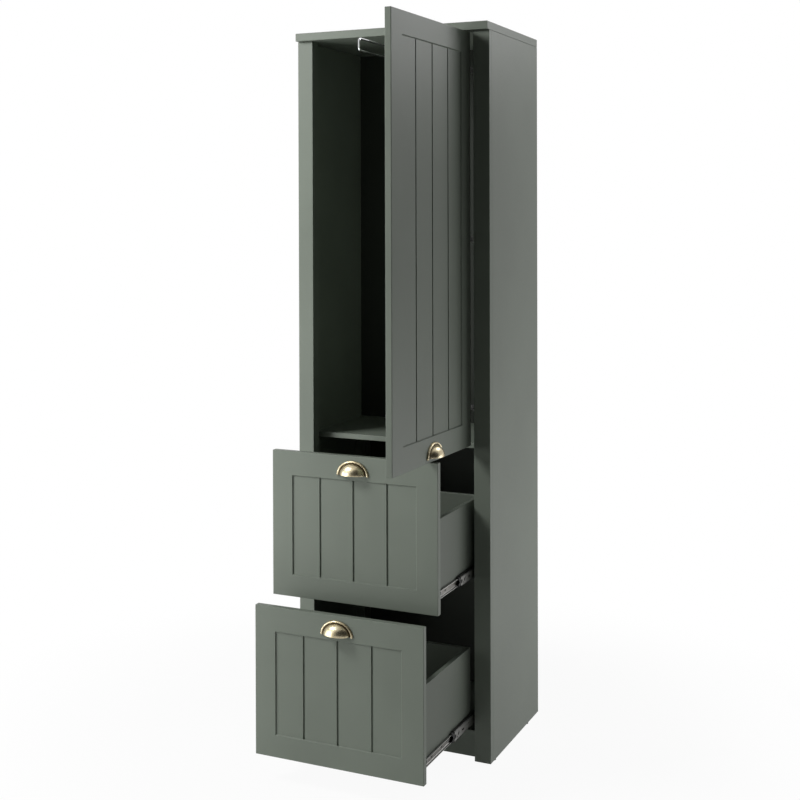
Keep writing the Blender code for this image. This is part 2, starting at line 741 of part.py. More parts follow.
def make_retainer(drawer, word, side, centre, half, web_face, body):
    """A moulded channel that fills the race between two members and holds the balls in its windows."""
    front = FRONT_Y + SLIDE_SETBACK
    outer = OPENING - web_face - SEAT_GAP
    inner = outer - RETAINER_FLANGE
    half -= SEAT_GAP
    retainer = board(
        f"{drawer}_{word}_slide_retainer",
        body,
        (side * inner, side * outer),
        (front, front + RETAINER_LENGTH),
        (centre - half, centre + half),
        PLASTIC_LOOK,
    )
    hollow = board(
        f"{drawer}_{word}_retainer_hollow",
        body,
        (side * (inner - CUT_OVERRUN), side * (outer - RETAINER_WEB)),
        (front - CUT_OVERRUN, front + RETAINER_LENGTH + CUT_OVERRUN),
        (centre - half + RETAINER_WALL, centre + half - RETAINER_WALL),
        None,
    )
    combine(retainer, hollow, "DIFFERENCE")
    notch = board(
        f"{drawer}_{word}_retainer_notch",
        body,
        (side * (inner - CUT_OVERRUN), side * (outer + CUT_OVERRUN)),
        (front - CUT_OVERRUN, front + RETAINER_NOTCH_DEPTH),
        (centre - RETAINER_NOTCH_HEIGHT / 2, centre + RETAINER_NOTCH_HEIGHT / 2),
        None,
    )
    combine(retainer, notch, "DIFFERENCE")
    windows_front = front + SLIDE_MIDDLE_INSET
    pitch = (RETAINER_LENGTH - SLIDE_MIDDLE_INSET) / RETAINER_WINDOWS
    for index in range(RETAINER_WINDOWS):
        middle = windows_front + pitch * (index + 1 / 2)
        window = board(
            f"{drawer}_{word}_retainer_window_{index + 1}",
            body,
            (side * (inner - CUT_OVERRUN), side * (outer - RETAINER_FLANGE / 2)),
            (middle - RETAINER_WINDOW / 2, middle + RETAINER_WINDOW / 2),
            (centre - half - CUT_OVERRUN, centre + half + CUT_OVERRUN),
            None,
        )
        combine(retainer, window, "DIFFERENCE")


def make_drawer(word, bottom, top, pull):
    shut = Vector((0, FRONT_Y, bottom))
    body = moving_body(f"{word}_drawer", shut, (0, -pull, 0))
    middles = moving_body(f"{word}_slide_middles", shut, (0, -pull / 2, 0))
    front = framed_front(f"{word}_drawer_front", body, bottom, top, PLAIN_RAIL, HANDLE_RAIL)
    start = FRONT_Y + FRONT_THICKNESS + SEAT_GAP
    end = start + DRAWER_DEPTH
    low = bottom + DRAWER_BOX_LIFT
    high = low + DRAWER_BOX_HEIGHT
    inner = BOX_SIDE - DRAWER_SIDE_THICKNESS
    sheet_low = low + DRAWER_BOTTOM_LIFT
    sheet_high = sheet_low + DRAWER_BOTTOM_THICKNESS
    groove_side = inner + DRAWER_GROOVE_DEPTH
    groove = board(
        f"{word}_drawer_groove",
        body,
        (-groove_side, groove_side),
        (start - SEAT_GAP - DRAWER_GROOVE_DEPTH, end + CUT_OVERRUN),
        (sheet_low - SEAT_GAP, sheet_high + SEAT_GAP),
        None,
    )
    combine(front, groove, "DIFFERENCE")
    for name, side in (("left", -1), ("right", 1)):
        panel = board(
            f"{word}_drawer_{name}_side",
            body,
            (side * inner, side * BOX_SIDE),
            (start, end),
            (low, high),
            DRAWER_LOOK,
            EDGE_RADIUS,
        )
        combine(panel, groove, "DIFFERENCE")
        make_slide(word, name, side, bottom, body, middles)
    board(
        f"{word}_drawer_back",
        body,
        (-inner + SEAT_GAP, inner - SEAT_GAP),
        (end - DRAWER_SIDE_THICKNESS, end),
        (sheet_high + SEAT_GAP, high),
        DRAWER_LOOK,
        EDGE_RADIUS,
    )
    board(
        f"{word}_drawer_bottom",
        body,
        (-groove_side + SEAT_GAP, groove_side - SEAT_GAP),
        (start - DRAWER_GROOVE_DEPTH, end),
        (sheet_low, sheet_high),
        DRAWER_LOOK,
    )
    cup_handle(f"{word}_drawer_handle", body, top - HANDLE_BELOW_TOP)


# Door and its hinges

TURN = Vector((DOOR_LEAF, FRONT_Y + DOOR_TURN_DEPTH))
CUP_PIN = Vector(
    (FRONT_WIDTH / 2 - CUP_PIN_INSET, FRONT_Y + FRONT_THICKNESS - CUP_PIN_DEPTH)
)


def turned_about(point, centre, angle):
    offset = point - centre
    return centre + Vector(
        (
            offset.x * math.cos(angle) - offset.y * math.sin(angle),
            offset.x * math.sin(angle) + offset.y * math.cos(angle),
        )
    )


def heading(start, end):
    return math.atan2(end.y - start.y, end.x - start.x)


CUP_PIN_OPEN = turned_about(CUP_PIN, TURN, DOOR_OPEN_ANGLE)
ARM_PIN_HEADING = heading(TURN, CUP_PIN) + DOOR_OPEN_ANGLE / 2
ARM_PIN = TURN + ARM_PIN_REACH * Vector((math.cos(ARM_PIN_HEADING), math.sin(ARM_PIN_HEADING)))
LINK_LENGTH = (CUP_PIN - ARM_PIN).length
LINK_SHUT_HEADING = heading(ARM_PIN, CUP_PIN)
LINK_TURN = heading(ARM_PIN, CUP_PIN_OPEN) - LINK_SHUT_HEADING


def from_link(along, across):
    """A point given along the line from the arm pin to the cup pin, and across it towards the front."""
    heading_vector = Vector((math.cos(LINK_SHUT_HEADING), math.sin(LINK_SHUT_HEADING)))
    side_vector = Vector((heading_vector.y, -heading_vector.x))
    return ARM_PIN + along * heading_vector + across * side_vector


def make_cup(word, door, height):
    centre = Vector((FRONT_WIDTH / 2 - CUP_INSET, 0, height))
    inner_face = FRONT_Y + FRONT_THICKNESS
    floor = inner_face - CUP_DEPTH
    rim = inner_face + SEAT_GAP + CUP_FLANGE_THICKNESS
    centre.y = (floor + rim) / 2
    cup = round_bar(
        f"{word}_hinge_cup", door, centre, CUP_RADIUS, rim - floor, (0, 1, 0), ZINC_LOOK, CUP_STEPS
    )
    middle = centre.x - CUP_FLANGE_OFFSET
    flange = board(
        f"{word}_cup_flange",
        door,
        (middle - CUP_FLANGE_WIDTH / 2, middle + CUP_FLANGE_WIDTH / 2),
        (inner_face + SEAT_GAP, rim),
        (height - CUP_FLANGE_HEIGHT / 2, height + CUP_FLANGE_HEIGHT / 2),
        None,
    )
    combine(cup, flange, "UNION")
    bottom = floor + CUP_FLOOR
    centre.y = (bottom + rim + CUT_OVERRUN) / 2
    hollow = round_bar(
        f"{word}_cup_hollow",
        door,
        centre,
        CUP_RADIUS - CUP_WALL,
        rim + CUT_OVERRUN - bottom,
        (0, 1, 0),
        None,
        CUP_STEPS,
    )
    combine(cup, hollow, "DIFFERENCE")
    offset = CUP_PIN.x - centre.x
    half_chord = math.sqrt((CUP_RADIUS - CUP_WALL) ** 2 - offset**2)
    pin = round_bar(
        f"{word}_cup_pin",
        door,
        (CUP_PIN.x, CUP_PIN.y, height),
        PIN_RADIUS,
        2 * (half_chord + CUP_PIN_EMBEDDED),
        (0, 0, 1),
        None,
        PIN_STEPS,
    )
    combine(cup, pin, "UNION")


def make_link(word, links, height):
    """A flat link with two bends, so that it passes over the cup's rim, and a knuckle on each pin."""
    low = height - LINK_WIDTH / 2
    corners = (
        from_link(KNUCKLE_RADIUS, 0),
        from_link(LINK_ELBOW_ALONG, LINK_ELBOW_ACROSS),
        from_link(LINK_WRIST_ALONG, LINK_WRIST_ACROSS),
        CUP_PIN,
    )
    path = [Vector((corner.x, corner.y, low)) for corner in corners]
    path[0] = Vector((ARM_PIN.x, ARM_PIN.y, low))
    link = folded_sheet(
        f"{word}_hinge_link", links, path, (0, 0, LINK_WIDTH), LINK_SHEET, ZINC_LOOK
    )
    for end, place in (("arm", ARM_PIN), ("cup", CUP_PIN)):
        centre = (place.x, place.y, height)
        knuckle = round_bar(
            f"{word}_{end}_knuckle", links, centre, KNUCKLE_RADIUS, LINK_WIDTH, (0, 0, 1), None
        )
        combine(link, knuckle, "UNION")
    for end, place in (("arm", ARM_PIN), ("cup", CUP_PIN)):
        centre = (place.x, place.y, height)
        bore = round_bar(
            f"{word}_{end}_bore",
            links,
            centre,
            PIN_RADIUS + SEAT_GAP,
            LINK_WIDTH + CUT_OVERRUN,
            (0, 0, 1),
            None,
            PIN_STEPS,
        )
        combine(link, bore, "DIFFERENCE")


def make_arm(word, height):
    """A cranked channel on a plate: its two cheeks hold the arm pin in front of the batten."""
    plate_face = OPENING - SEAT_GAP
    heel = plate_face - PLATE_THICKNESS
    crown = heel - ARM_HEIGHT
    half_width = LINK_WIDTH / 2 + SEAT_GAP + ARM_WALL
    bend = FRONT_Y + ARM_BEND_BEHIND
    rear = FRONT_Y + ARM_FRONT_BEHIND + ARM_LENGTH
    front = FRONT_Y + ARM_FRONT_BEHIND
    tip = KNUCKLE_RADIUS
    outline = (
        (ARM_PIN.x - tip, ARM_PIN.y - tip / 2),
        (ARM_PIN.x - tip / 2, ARM_PIN.y - tip),
        (ARM_PIN.x + tip, ARM_PIN.y - tip),
        (heel, front),
        (heel, rear),
        (crown, rear),
        (crown, bend),
        (ARM_PIN.x - tip, ARM_PIN.y + tip),
    )
    arm = flat_piece(
        f"{word}_hinge_arm", CARCASS, outline, height - half_width, height + half_width, ZINC_LOOK
    )
    inside = (
        (ARM_PIN.x - 2 * tip, ARM_PIN.y - 2 * tip),
        (heel + PLATE_THICKNESS, ARM_PIN.y - 2 * tip),
        (heel, rear + CUT_OVERRUN),
        (crown + ARM_WALL, rear + CUT_OVERRUN),
        (crown + ARM_WALL, bend),
        (ARM_PIN.x - tip / 2, ARM_PIN.y + 3 * tip / 2),
        (ARM_PIN.x - 2 * tip, ARM_PIN.y + 2 * tip),
    )
    hollow = flat_piece(
        f"{word}_arm_hollow",
        CARCASS,
        inside,
        height - LINK_WIDTH / 2 - SEAT_GAP,
        height + LINK_WIDTH / 2 + SEAT_GAP,
        None,
    )
    combine(arm, hollow, "DIFFERENCE")
    pin = round_bar(
        f"{word}_arm_pin",
        CARCASS,
        (ARM_PIN.x, ARM_PIN.y, height),
        PIN_RADIUS,
        2 * half_width - ARM_WALL,
        (0, 0, 1),
        None,
        PIN_STEPS,
    )
    combine(arm, pin, "UNION")
    plate = board(
        f"{word}_arm_plate",
        CARCASS,
        (heel - ARM_WALL / 2, plate_face),
        (FRONT_Y + PLATE_FRONT_BEHIND, FRONT_Y + PLATE_FRONT_BEHIND + PLATE_LENGTH),
        (height - PLATE_WIDTH / 2, height + PLATE_WIDTH / 2),
        None,
    )
    combine(arm, plate, "UNION")


def make_door():
    shut = Vector((CUP_PIN.x, CUP_PIN.y, DOOR_BOTTOM))
    moved = CUP_PIN_OPEN - CUP_PIN
    door = moving_body("door", shut, (moved.x, moved.y, 0), DOOR_OPEN_ANGLE)
    panel = framed_front("door_panel", door, DOOR_BOTTOM, DOOR_TOP, HANDLE_RAIL, PLAIN_RAIL)
    links = moving_body("hinge_links", (ARM_PIN.x, ARM_PIN.y, DOOR_BOTTOM), turned=LINK_TURN)
    heights = (
        ("bottom", DOOR_BOTTOM + HINGE_END_INSET),
        ("middle", (DOOR_BOTTOM + DOOR_TOP) / 2),
        ("top", DOOR_TOP - HINGE_END_INSET),
    )
    bottom = FRONT_Y + FRONT_THICKNESS - CUP_DEPTH - SEAT_GAP
    top = FRONT_Y + FRONT_THICKNESS + CUT_OVERRUN
    for word, height in heights:
        bore = round_bar(
            f"{word}_cup_bore",
            door,
            (FRONT_WIDTH / 2 - CUP_INSET, (bottom + top) / 2, height),
            CUP_BORE_RADIUS,
            top - bottom,
            (0, 1, 0),
            None,
            CUP_STEPS,
        )
        combine(panel, bore, "DIFFERENCE")
        make_cup(word, door, height)
        make_link(word, links, height)
        make_arm(word, height)
    cup_handle("door_handle", door, DOOR_BOTTOM + DOOR_HANDLE_LIFT)


# Pull-out clothes rail


def make_clothes_rail():
    low = RAIL_HEIGHT - RAIL_DROP
    body = moving_body("clothes_rail_body", (0, RAIL_FRONT, RAIL_HEIGHT), (0, -RAIL_PULL, 0))
    corners = (
        (0, RAIL_FRONT, RAIL_HEIGHT),
        (0, RAIL_REAR, RAIL_HEIGHT),
        (0, RAIL_REAR, low),
        (0, RAIL_FRONT, low),
    )
    path = rounded(corners, RAIL_BEND_RADIUS, RAIL_BEND_STEPS, closed=True)
    bent_rod("clothes_rail", body, path, RAIL_ROD_RADIUS, CHROME_LOOK)
    bore = round_bar(
        "rail_bore",
        CARCASS,
        (0, (RAIL_FRONT + RAIL_REAR) / 2, RAIL_HEIGHT),
        RAIL_ROD_RADIUS + SEAT_GAP,
        2 * (RAIL_REAR - RAIL_FRONT),
        (0, 1, 0),
        None,
    )
    ceiling = UNDER_TOP - SEAT_GAP
    skirt = RAIL_HEIGHT + RAIL_ROD_RADIUS + CARRIER_ROD_GAP
    half = CARRIER_WIDTH / 2
    carrier = board(
        "rail_carrier",
        CARCASS,
        (-half, half),
        (GUIDE_FRONT, BACK_Y - CARRIER_REAR_SPACE),
        (skirt, ceiling),
        ZINC_LOOK,
    )
    channel = board(
        "carrier_channel",
        CARCASS,
        (-half + CARRIER_WALL, half - CARRIER_WALL),
        (GUIDE_FRONT + GUIDE_LENGTH, BACK_Y - CARRIER_REAR_SPACE + CUT_OVERRUN),
        (skirt - CUT_OVERRUN, ceiling - CARRIER_WALL),
        None,
    )
    combine(carrier, channel, "DIFFERENCE")
    guide = board(
        "carrier_guide",
        CARCASS,
        (-half, half),
        (GUIDE_FRONT, GUIDE_FRONT + GUIDE_LENGTH),
        (RAIL_HEIGHT - RAIL_ROD_RADIUS - GUIDE_WALL, ceiling - CARRIER_WALL),
        None,
    )
    combine(carrier, guide, "UNION")
    combine(carrier, bore, "DIFFERENCE")
    slider = board(
        "rail_slider",
        body,
        (-half + CARRIER_WALL + SEAT_GAP, half - CARRIER_WALL - SEAT_GAP),
        (SLIDER_REAR - SLIDER_LENGTH, SLIDER_REAR),
        (RAIL_HEIGHT - SLIDER_DEPTH, ceiling - CARRIER_WALL - SEAT_GAP),
        PLASTIC_LOOK,
    )
    slider_bore = round_bar(
        "slider_bore",
        body,
        (0, SLIDER_REAR - SLIDER_LENGTH / 2, RAIL_HEIGHT),
        RAIL_ROD_RADIUS + SEAT_GAP,
        SLIDER_LENGTH + CUT_OVERRUN,
        (0, 1, 0),
        None,
    )
    combine(slider, slider_bore, "DIFFERENCE")


make_top_board()
make_side("left", -1)
make_side("right", 1)
make_inner_boards()
make_drawer("upper", UPPER_FRONT_BOTTOM, UPPER_FRONT_TOP, UPPER_PULL)
make_drawer("lower", LOWER_FRONT_BOTTOM, LOWER_FRONT_TOP, LOWER_PULL)
make_door()
make_clothes_rail()

for piece in PARTS.objects:
    if piece.type == "MESH":
        piece.data.shade_smooth()
        piece.data.set_sharp_from_angle(angle=math.radians(35))
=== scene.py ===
# %% [markdown]
# # A tall narrow wardrobe
#
# The wardrobe stands with its door open and both drawers pulled out. Its boards, slides and
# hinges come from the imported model, which is loaded first and never moved. This file gives every
# surface its finish, adds the small hardware that the solids leave out, and sets up the camera,
# the lamps and the floor.

# %% Load the model
import math

import bpy
import bmesh
from mathutils import Matrix, Vector


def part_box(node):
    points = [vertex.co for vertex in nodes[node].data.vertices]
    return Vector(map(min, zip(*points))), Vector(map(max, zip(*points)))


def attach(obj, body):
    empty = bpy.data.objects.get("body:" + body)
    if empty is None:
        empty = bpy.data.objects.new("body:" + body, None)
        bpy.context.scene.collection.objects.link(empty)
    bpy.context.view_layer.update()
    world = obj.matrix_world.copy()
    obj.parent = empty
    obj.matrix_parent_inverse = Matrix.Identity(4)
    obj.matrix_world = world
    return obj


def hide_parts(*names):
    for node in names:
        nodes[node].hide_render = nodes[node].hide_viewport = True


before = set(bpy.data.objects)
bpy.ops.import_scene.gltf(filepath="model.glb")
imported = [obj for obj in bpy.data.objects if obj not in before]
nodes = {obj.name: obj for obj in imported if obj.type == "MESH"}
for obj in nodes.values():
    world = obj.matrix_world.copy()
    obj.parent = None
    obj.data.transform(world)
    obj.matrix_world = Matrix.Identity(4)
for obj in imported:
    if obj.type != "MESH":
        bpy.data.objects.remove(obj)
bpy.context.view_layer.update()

# %% [markdown]
# ## The camera
#
# The camera stands in front of the wardrobe and well to its right, a little above the middle of
# its height. Its place and angles were worked out from the cabinet's straight edges. A camera can
# be aimed with a constraint, but three plain vectors are exact and easy to read: one points
# forward, one to the right, one up.

# %% Camera
CAMERA_SIDEWAYS = 1.4866
CAMERA_DISTANCE = 3.2098
CAMERA_HEIGHT = 1.4777
CAMERA_YAW = 0.42661
CAMERA_PITCH = -0.00908
CAMERA_ROLL = -0.00281
FILM_WIDTH = 36
LENS = 57.408
LENS_SHIFT = -0.21477

front_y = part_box("left_front_post")[0].y
camera_place = Vector((CAMERA_SIDEWAYS, front_y - CAMERA_DISTANCE, CAMERA_HEIGHT))
forward = Vector(
    (
        -math.sin(CAMERA_YAW) * math.cos(CAMERA_PITCH),
        math.cos(CAMERA_YAW) * math.cos(CAMERA_PITCH),
        math.sin(CAMERA_PITCH),
    )
)
level_right = Vector((math.cos(CAMERA_YAW), math.sin(CAMERA_YAW), 0))
right = Matrix.Rotation(CAMERA_ROLL, 3, -forward) @ level_right
up = right.cross(forward)
turn = Matrix((right, up, -forward)).transposed().to_4x4()

camera = bpy.data.objects.new("camera", bpy.data.cameras.new("camera"))
bpy.context.scene.collection.objects.link(camera)
camera.matrix_world = Matrix.Translation(camera_place) @ turn
camera.data.sensor_width = FILM_WIDTH
camera.data.lens = LENS
camera.data.shift_y = LENS_SHIFT
bpy.context.scene.camera = camera
print("camera looks along", [round(value, 3) for value in forward])

# %% [markdown]
# ## Shader maths as Python expressions
#
# A material in Blender is a graph of nodes. Building one link at a time hides the idea behind it,
# so a small class wraps a node's output and adds a Math node for each operator. An expression
# such as `1 - mask * 0.3` then reads as it would on paper, and works the other way round too. A
# second class holds the graph and makes every other node with one method, and a third starts each
# finish.


# %% The value class
class Value:
    """A node's output. Sums and products with it add Math nodes to the same graph."""

    def __init__(self, graph, socket):
        self.graph = graph
        self.socket = socket

    def __add__(self, other):
        return self.graph.maths("ADD", self, other)

    def __sub__(self, other):
        return self.graph.maths("SUBTRACT", self, other)

    def __rsub__(self, other):
        return self.graph.maths("SUBTRACT", other, self)

    def __mul__(self, other):
        return self.graph.maths("MULTIPLY", self, other)

    def __pow__(self, other):
        return self.graph.maths("POWER", self, other)

    __radd__ = __add__
    __rmul__ = __mul__

    def between(self, low, high):
        """0 below low, 1 above high, and a smooth step between. A larger low turns it round."""
        values = {"Value": self, "From Min": low, "From Max": high}
        return self.graph.node("ShaderNodeMapRange", {"interpolation_type": "SMOOTHSTEP"}, values)


print("Value: +, -, *, ** and between")

# %% The graph class
class Graph:
    """The nodes of one material or of the world, and the calls that add to them."""

    def __init__(self, tree):
        self.tree = tree

    def fill(self, socket, value):
        """Gives a socket a number, a colour or a link."""
        if isinstance(value, Value):
            self.tree.links.new(value.socket, socket)
        elif socket.type == "RGBA":
            socket.default_value = (*value, 1)
        else:
            socket.default_value = value

    def node(self, kind, settings=None, values=None, output=0):
        """Any node: its settings, then its sockets' values or links. Gives one of its outputs."""
        node = self.tree.nodes.new(kind)
        for name, setting in (settings or {}).items():
            setattr(node, name, setting)
        for name, value in (values or {}).items():
            self.fill(node.inputs[name], value)
        return Value(self, node.outputs[output])

    def maths(self, operation, *numbers):
        return self.node("ShaderNodeMath", {"operation": operation}, dict(enumerate(numbers)))

    def vector_maths(self, operation, *vectors, output="Vector"):
        values = dict(enumerate(vectors))
        return self.node("ShaderNodeVectorMath", {"operation": operation}, values, output)

    def seen(self):
        """1 for rays that show a surface, straight or by way of metal or glass, 0 for the rest."""
        share = self.node("ShaderNodeLightPath", output="Is Camera Ray")
        for kind in ("Is Glossy Ray", "Is Transmission Ray"):
            share = self.maths("MAXIMUM", share, self.node("ShaderNodeLightPath", output=kind))
        return share


print("Graph: fill, node, maths, vector_maths and seen")

# %% The finish class
class Finish(Graph):
    """A material with one Principled shader, built up by calls."""

    def __init__(self, name, **constants):
        self.material = bpy.data.materials.new(name)
        self.material.use_nodes = True
        super().__init__(self.material.node_tree)
        self.shader = self.tree.nodes["Principled BSDF"]
        for socket, value in constants.items():
            self.set(socket.replace("_", " ").title().replace("Ior", "IOR"), value)

    def set(self, socket, value):
        """Gives one of the Principled shader's sockets a number, a colour or a link."""
        self.fill(self.shader.inputs[socket], value)

    def place(self):
        """Where a point is on the object at rest, in metres."""
        return self.node("ShaderNodeTexCoord", output="Object")

    def axes(self):
        """The place as three numbers, one for each axis."""
        parts = {"Vector": self.place()}
        return [self.node("ShaderNodeSeparateXYZ", {}, parts, output=axis) for axis in range(3)]

    def stretched(self, scale):
        """The place, scaled along each axis: a small number makes a pattern long that way."""
        return self.node("ShaderNodeMapping", {}, {"Vector": self.place(), "Scale": scale})

    def noise(self, size, detail=4, stretch=(1, 1, 1)):
        """Soft random patches of about this size, in metres."""
        scale = tuple(axis / size for axis in stretch)
        values = {"Vector": self.stretched(scale), "Scale": 1, "Detail": detail}
        return self.node("ShaderNodeTexNoise", {}, values)

    def mixed(self, share, first, second):
        """One colour fading into another as the share goes from 0 to 1."""
        values = {0: share, 6: first, 7: second}
        return self.node("ShaderNodeMix", {"data_type": "RGBA"}, values, output=2)

    def bump(self, height, distance):
        """Fine relief: where height is 1, the surface stands this distance proud, in metres."""
        values = {"Height": height, "Distance": distance}
        self.set("Normal", self.node("ShaderNodeBump", {}, values))


print("Finish: place, axes, stretched, noise, mixed and bump")

# %% [markdown]
# ## Lacquered board
#
# The boards have an even coat of grey-green lacquer. It looks flat from afar, but up close the
# roller leaves a fine orange peel, the colour drifts a little from board to board, and the sheen
# isn't quite even. One flat colour would look like plastic. Soft noise in three sizes gives
# the drift, the sheen and the peel without any picture. The drawer boxes get the same lacquer made
# duller and darker, and the darker colour is painted shade for their sides, which sit in the
# cabinet's shadow. The thin back board and the batten behind the door's edge get a much darker
# one, painted shade that keeps the deep inside of the cabinet and the gap at the hinges dark.

# %% Lacquer
DRIFT_SIZE = 0.35
DRIFT = 0.06
SHEEN_SIZE = 0.006
PEEL_SIZE = 0.0016
PEEL_HEIGHT = 0.00004


def lacquer(name, colour, roughness):
    finish = Finish(name, specular_ior_level=0.2)
    cloud = finish.noise(DRIFT_SIZE, 3)
    grain = finish.noise(SHEEN_SIZE, 3)
    dark = tuple(channel * (1 - DRIFT) for channel in colour)
    light = tuple(channel * (1 + DRIFT) for channel in colour)
    finish.set("Base Color", finish.mixed(cloud.between(0.3, 0.7), dark, light))
    finish.set("Roughness", roughness + (grain - 0.5) * 0.08 + (cloud - 0.5) * 0.06)
    finish.bump(finish.noise(PEEL_SIZE, 2), PEEL_HEIGHT)
    return finish.material


paint = lacquer("cabinet_lacquer", (0.167, 0.191, 0.159), 0.42)
# The drawer boxes' lacquer is the cabinet's made darker: painted shade for sides in the cabinet's
# shadow.
drawer_shaded_paint = lacquer("drawer_box_shaded_lacquer", (0.128, 0.146, 0.121), 0.5)
# A near-black coat: painted shade for the back board and the hinge batten, deep inside the cabinet.
dark_shade_paint = lacquer("back_and_batten_painted_shade", (0.031, 0.036, 0.029), 0.55)
for coat in (paint, drawer_shaded_paint, dark_shade_paint):
    print(coat.name, "has", len(coat.node_tree.nodes), "nodes")

# %% [markdown]
# ## Zinc, chrome and black plastic
#
# The slides and hinge arms are zinc-plated steel, and the hinge cups and links are nickel-plated.
# Such plate is bright, but with a dull crystalline bloom and fine lines where the sheet was
# rolled. One grey metal would look like foil, so two fine noises carry the bloom and the lines.
# The balls leave a smear of dark grease along a slide, and a mask on the height above or below
# the slide's middle puts it there. The same mask is also painted shade: it darkens the middle
# strip's round shoulders and the drawer strip's channel, where shade falls. The clothes rail is
# chrome, which is nearly a mirror. The retainers and the glides are moulded from black plastic
# with a fine grain.

# %% Zinc and nickel
BLOOM_SIZE = 0.0022
LINE_SIZE = 0.0006
LINE_HEIGHT = 0.00002
SMEAR_SIZE = 0.009
SMEAR_LEAST = 0.7
SLIDE_HALF_HEIGHT = 0.0163

slide_levels = []
for drawer in ("upper", "lower"):
    slide_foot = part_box(f"{drawer}_left_slide_cabinet_member")[0].z
    slide_levels.append(slide_foot + SLIDE_HALF_HEIGHT)


def plate(name, dull, bright, grease_and_shade=None):
    """Metal with a bloom and rolling lines. The grease and shade have two distances from a slide's
    middle, where they start and where they are full, and a colour: a smear of grease that also
    paints shade on the slide's shoulders or in its channel."""
    finish = Finish(name, metallic=1.0)
    bloom = finish.noise(BLOOM_SIZE, 4)
    lines = finish.noise(LINE_SIZE, 2, stretch=(1, 0.05, 1))
    metal = finish.mixed(bloom.between(0.3, 0.7), dull, bright)
    if grease_and_shade:
        # Darker by height from the slide's middle: a grease smear, and painted shade on shoulders
        # or in a channel.
        starts, full, colour = grease_and_shade
        height = finish.axes()[2]
        distances = [finish.maths("ABSOLUTE", height - level) for level in slide_levels]
        greased_or_shaded = finish.maths("MINIMUM", *distances).between(starts, full)
        smear = finish.noise(SMEAR_SIZE, 3, stretch=(1, 0.3, 1)).between(0.2, 0.6)
        metal = finish.mixed(greased_or_shaded * (SMEAR_LEAST + smear * (1 - SMEAR_LEAST)), metal, colour)
    finish.set("Base Color", metal)
    finish.set("Roughness", 0.28 + bloom * 0.10 + lines * 0.08)
    finish.bump(lines, LINE_HEIGHT)
    return finish.material


# Each: where the darkening starts, where it is full, and its colour. Besides grease, the middle
# strip's is painted shade on its shoulders, the drawer strip's painted shade in its channel.
MIDDLE_GREASE_AND_SHADE = (0.0095, 0.0120, (0.05, 0.05, 0.048))
DRAWER_GREASE_AND_SHADE = (0.0083, 0.0055, (0.11, 0.105, 0.095))

zinc = plate("zinc_plate", (0.17, 0.175, 0.17), (0.25, 0.25, 0.245))
nickel = plate("nickel_plate", (0.44, 0.43, 0.41), (0.56, 0.55, 0.52))
middle_zinc_grease_and_shade = plate("middle_zinc_grease_and_shade", (0.15, 0.15, 0.142), (0.25, 0.248, 0.236), MIDDLE_GREASE_AND_SHADE)
drawer_zinc_grease_and_shade = plate("drawer_zinc_grease_and_shade", (0.26, 0.26, 0.25), (0.36, 0.36, 0.345), DRAWER_GREASE_AND_SHADE)
print("slides' middles at", [round(level, 4) for level in slide_levels])

# %% Chrome and plastic
POLISH_SIZE = 0.003
GRAIN_SIZE = 0.0008
GRAIN_HEIGHT = 0.00003


def chrome_plate():
    finish = Finish("chrome_plate", metallic=1.0, base_color=(0.72, 0.73, 0.74))
    finish.set("Roughness", 0.10 + finish.noise(POLISH_SIZE, 3) * 0.08)
    return finish.material


def black_plastic():
    finish = Finish("black_plastic", specular_ior_level=0.2)
    speck = finish.noise(GRAIN_SIZE, 2)
    finish.set("Base Color", finish.mixed(speck, (0.010, 0.010, 0.010), (0.020, 0.020, 0.020)))
    finish.set("Roughness", 0.42 + speck * 0.12)
    finish.bump(speck, GRAIN_HEIGHT)
    return finish.material


chrome = chrome_plate()
plastic = black_plastic()
print("rail:", chrome.name, "glides and retainers:", plastic.name)

# %% [markdown]
# ## Aged brass
#
# The cup handles are brass that has been darkened and then rubbed. The dome and the raised bead
# shine pale gold, while the dark coat stays in the groove between them, where no cloth reaches.
# The groove could be found by how hollow the surface is, but that needs a fine mesh and blurs its
# edges. The distance from the cup's centre says exactly where it is. It is measured in the
# handle's own plane, with the height stretched a little, because the cup is wider than twice its
# height.

# %% Brass
GROOVE_STARTS = (0.0350, 0.0375)
GROOVE_ENDS = (0.0390, 0.0406)
GROOVE_DARK = 0.94
CUP_RISE = 0.037
CUP_HALF_WIDTH = 0.046
WEAR_SIZE = 0.010
FLECK_SIZE = 0.0014
FLECK_HEIGHT = 0.00004


def aged_brass(name):
    finish = Finish(f"{name}_brass", metallic=1.0)
    low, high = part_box(name)
    along = 0 if high.x - low.x > high.y - low.y else 1
    place = finish.axes()
    sideways = place[along] - (low[along] + high[along]) / 2
    upwards = (place[2] - (high.z - CUP_RISE)) * (CUP_HALF_WIDTH / CUP_RISE)
    out = (sideways**2 + upwards**2) ** 0.5
    groove = out.between(*GROOVE_STARTS) * (1 - out.between(*GROOVE_ENDS))
    fleck = finish.noise(FLECK_SIZE, 3)
    worn = (finish.noise(WEAR_SIZE, 4) * 0.5 + fleck * 0.5).between(0.40, 0.62)
    metal = finish.mixed(worn, (0.40, 0.335, 0.21), (0.62, 0.555, 0.39))
    finish.set("Base Color", finish.mixed(groove * GROOVE_DARK, metal, (0.045, 0.032, 0.018)))
    finish.set("Roughness", 0.30 - worn * 0.06 + groove * 0.3)
    finish.bump(fleck, FLECK_HEIGHT)
    return finish.material


brass = {name: aged_brass(name) for name in nodes if name.endswith("handle")}
print("handles:", sorted(brass))

# %% [markdown]
# ## Which finish goes on which piece
#
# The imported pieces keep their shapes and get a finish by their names. A table with all 58 names
# would do the same, but a few rules on the words in a name are shorter and also hold for the next
# drawer or hinge. The order matters: a slide's name holds the word drawer too, so the metals come
# before the boards.


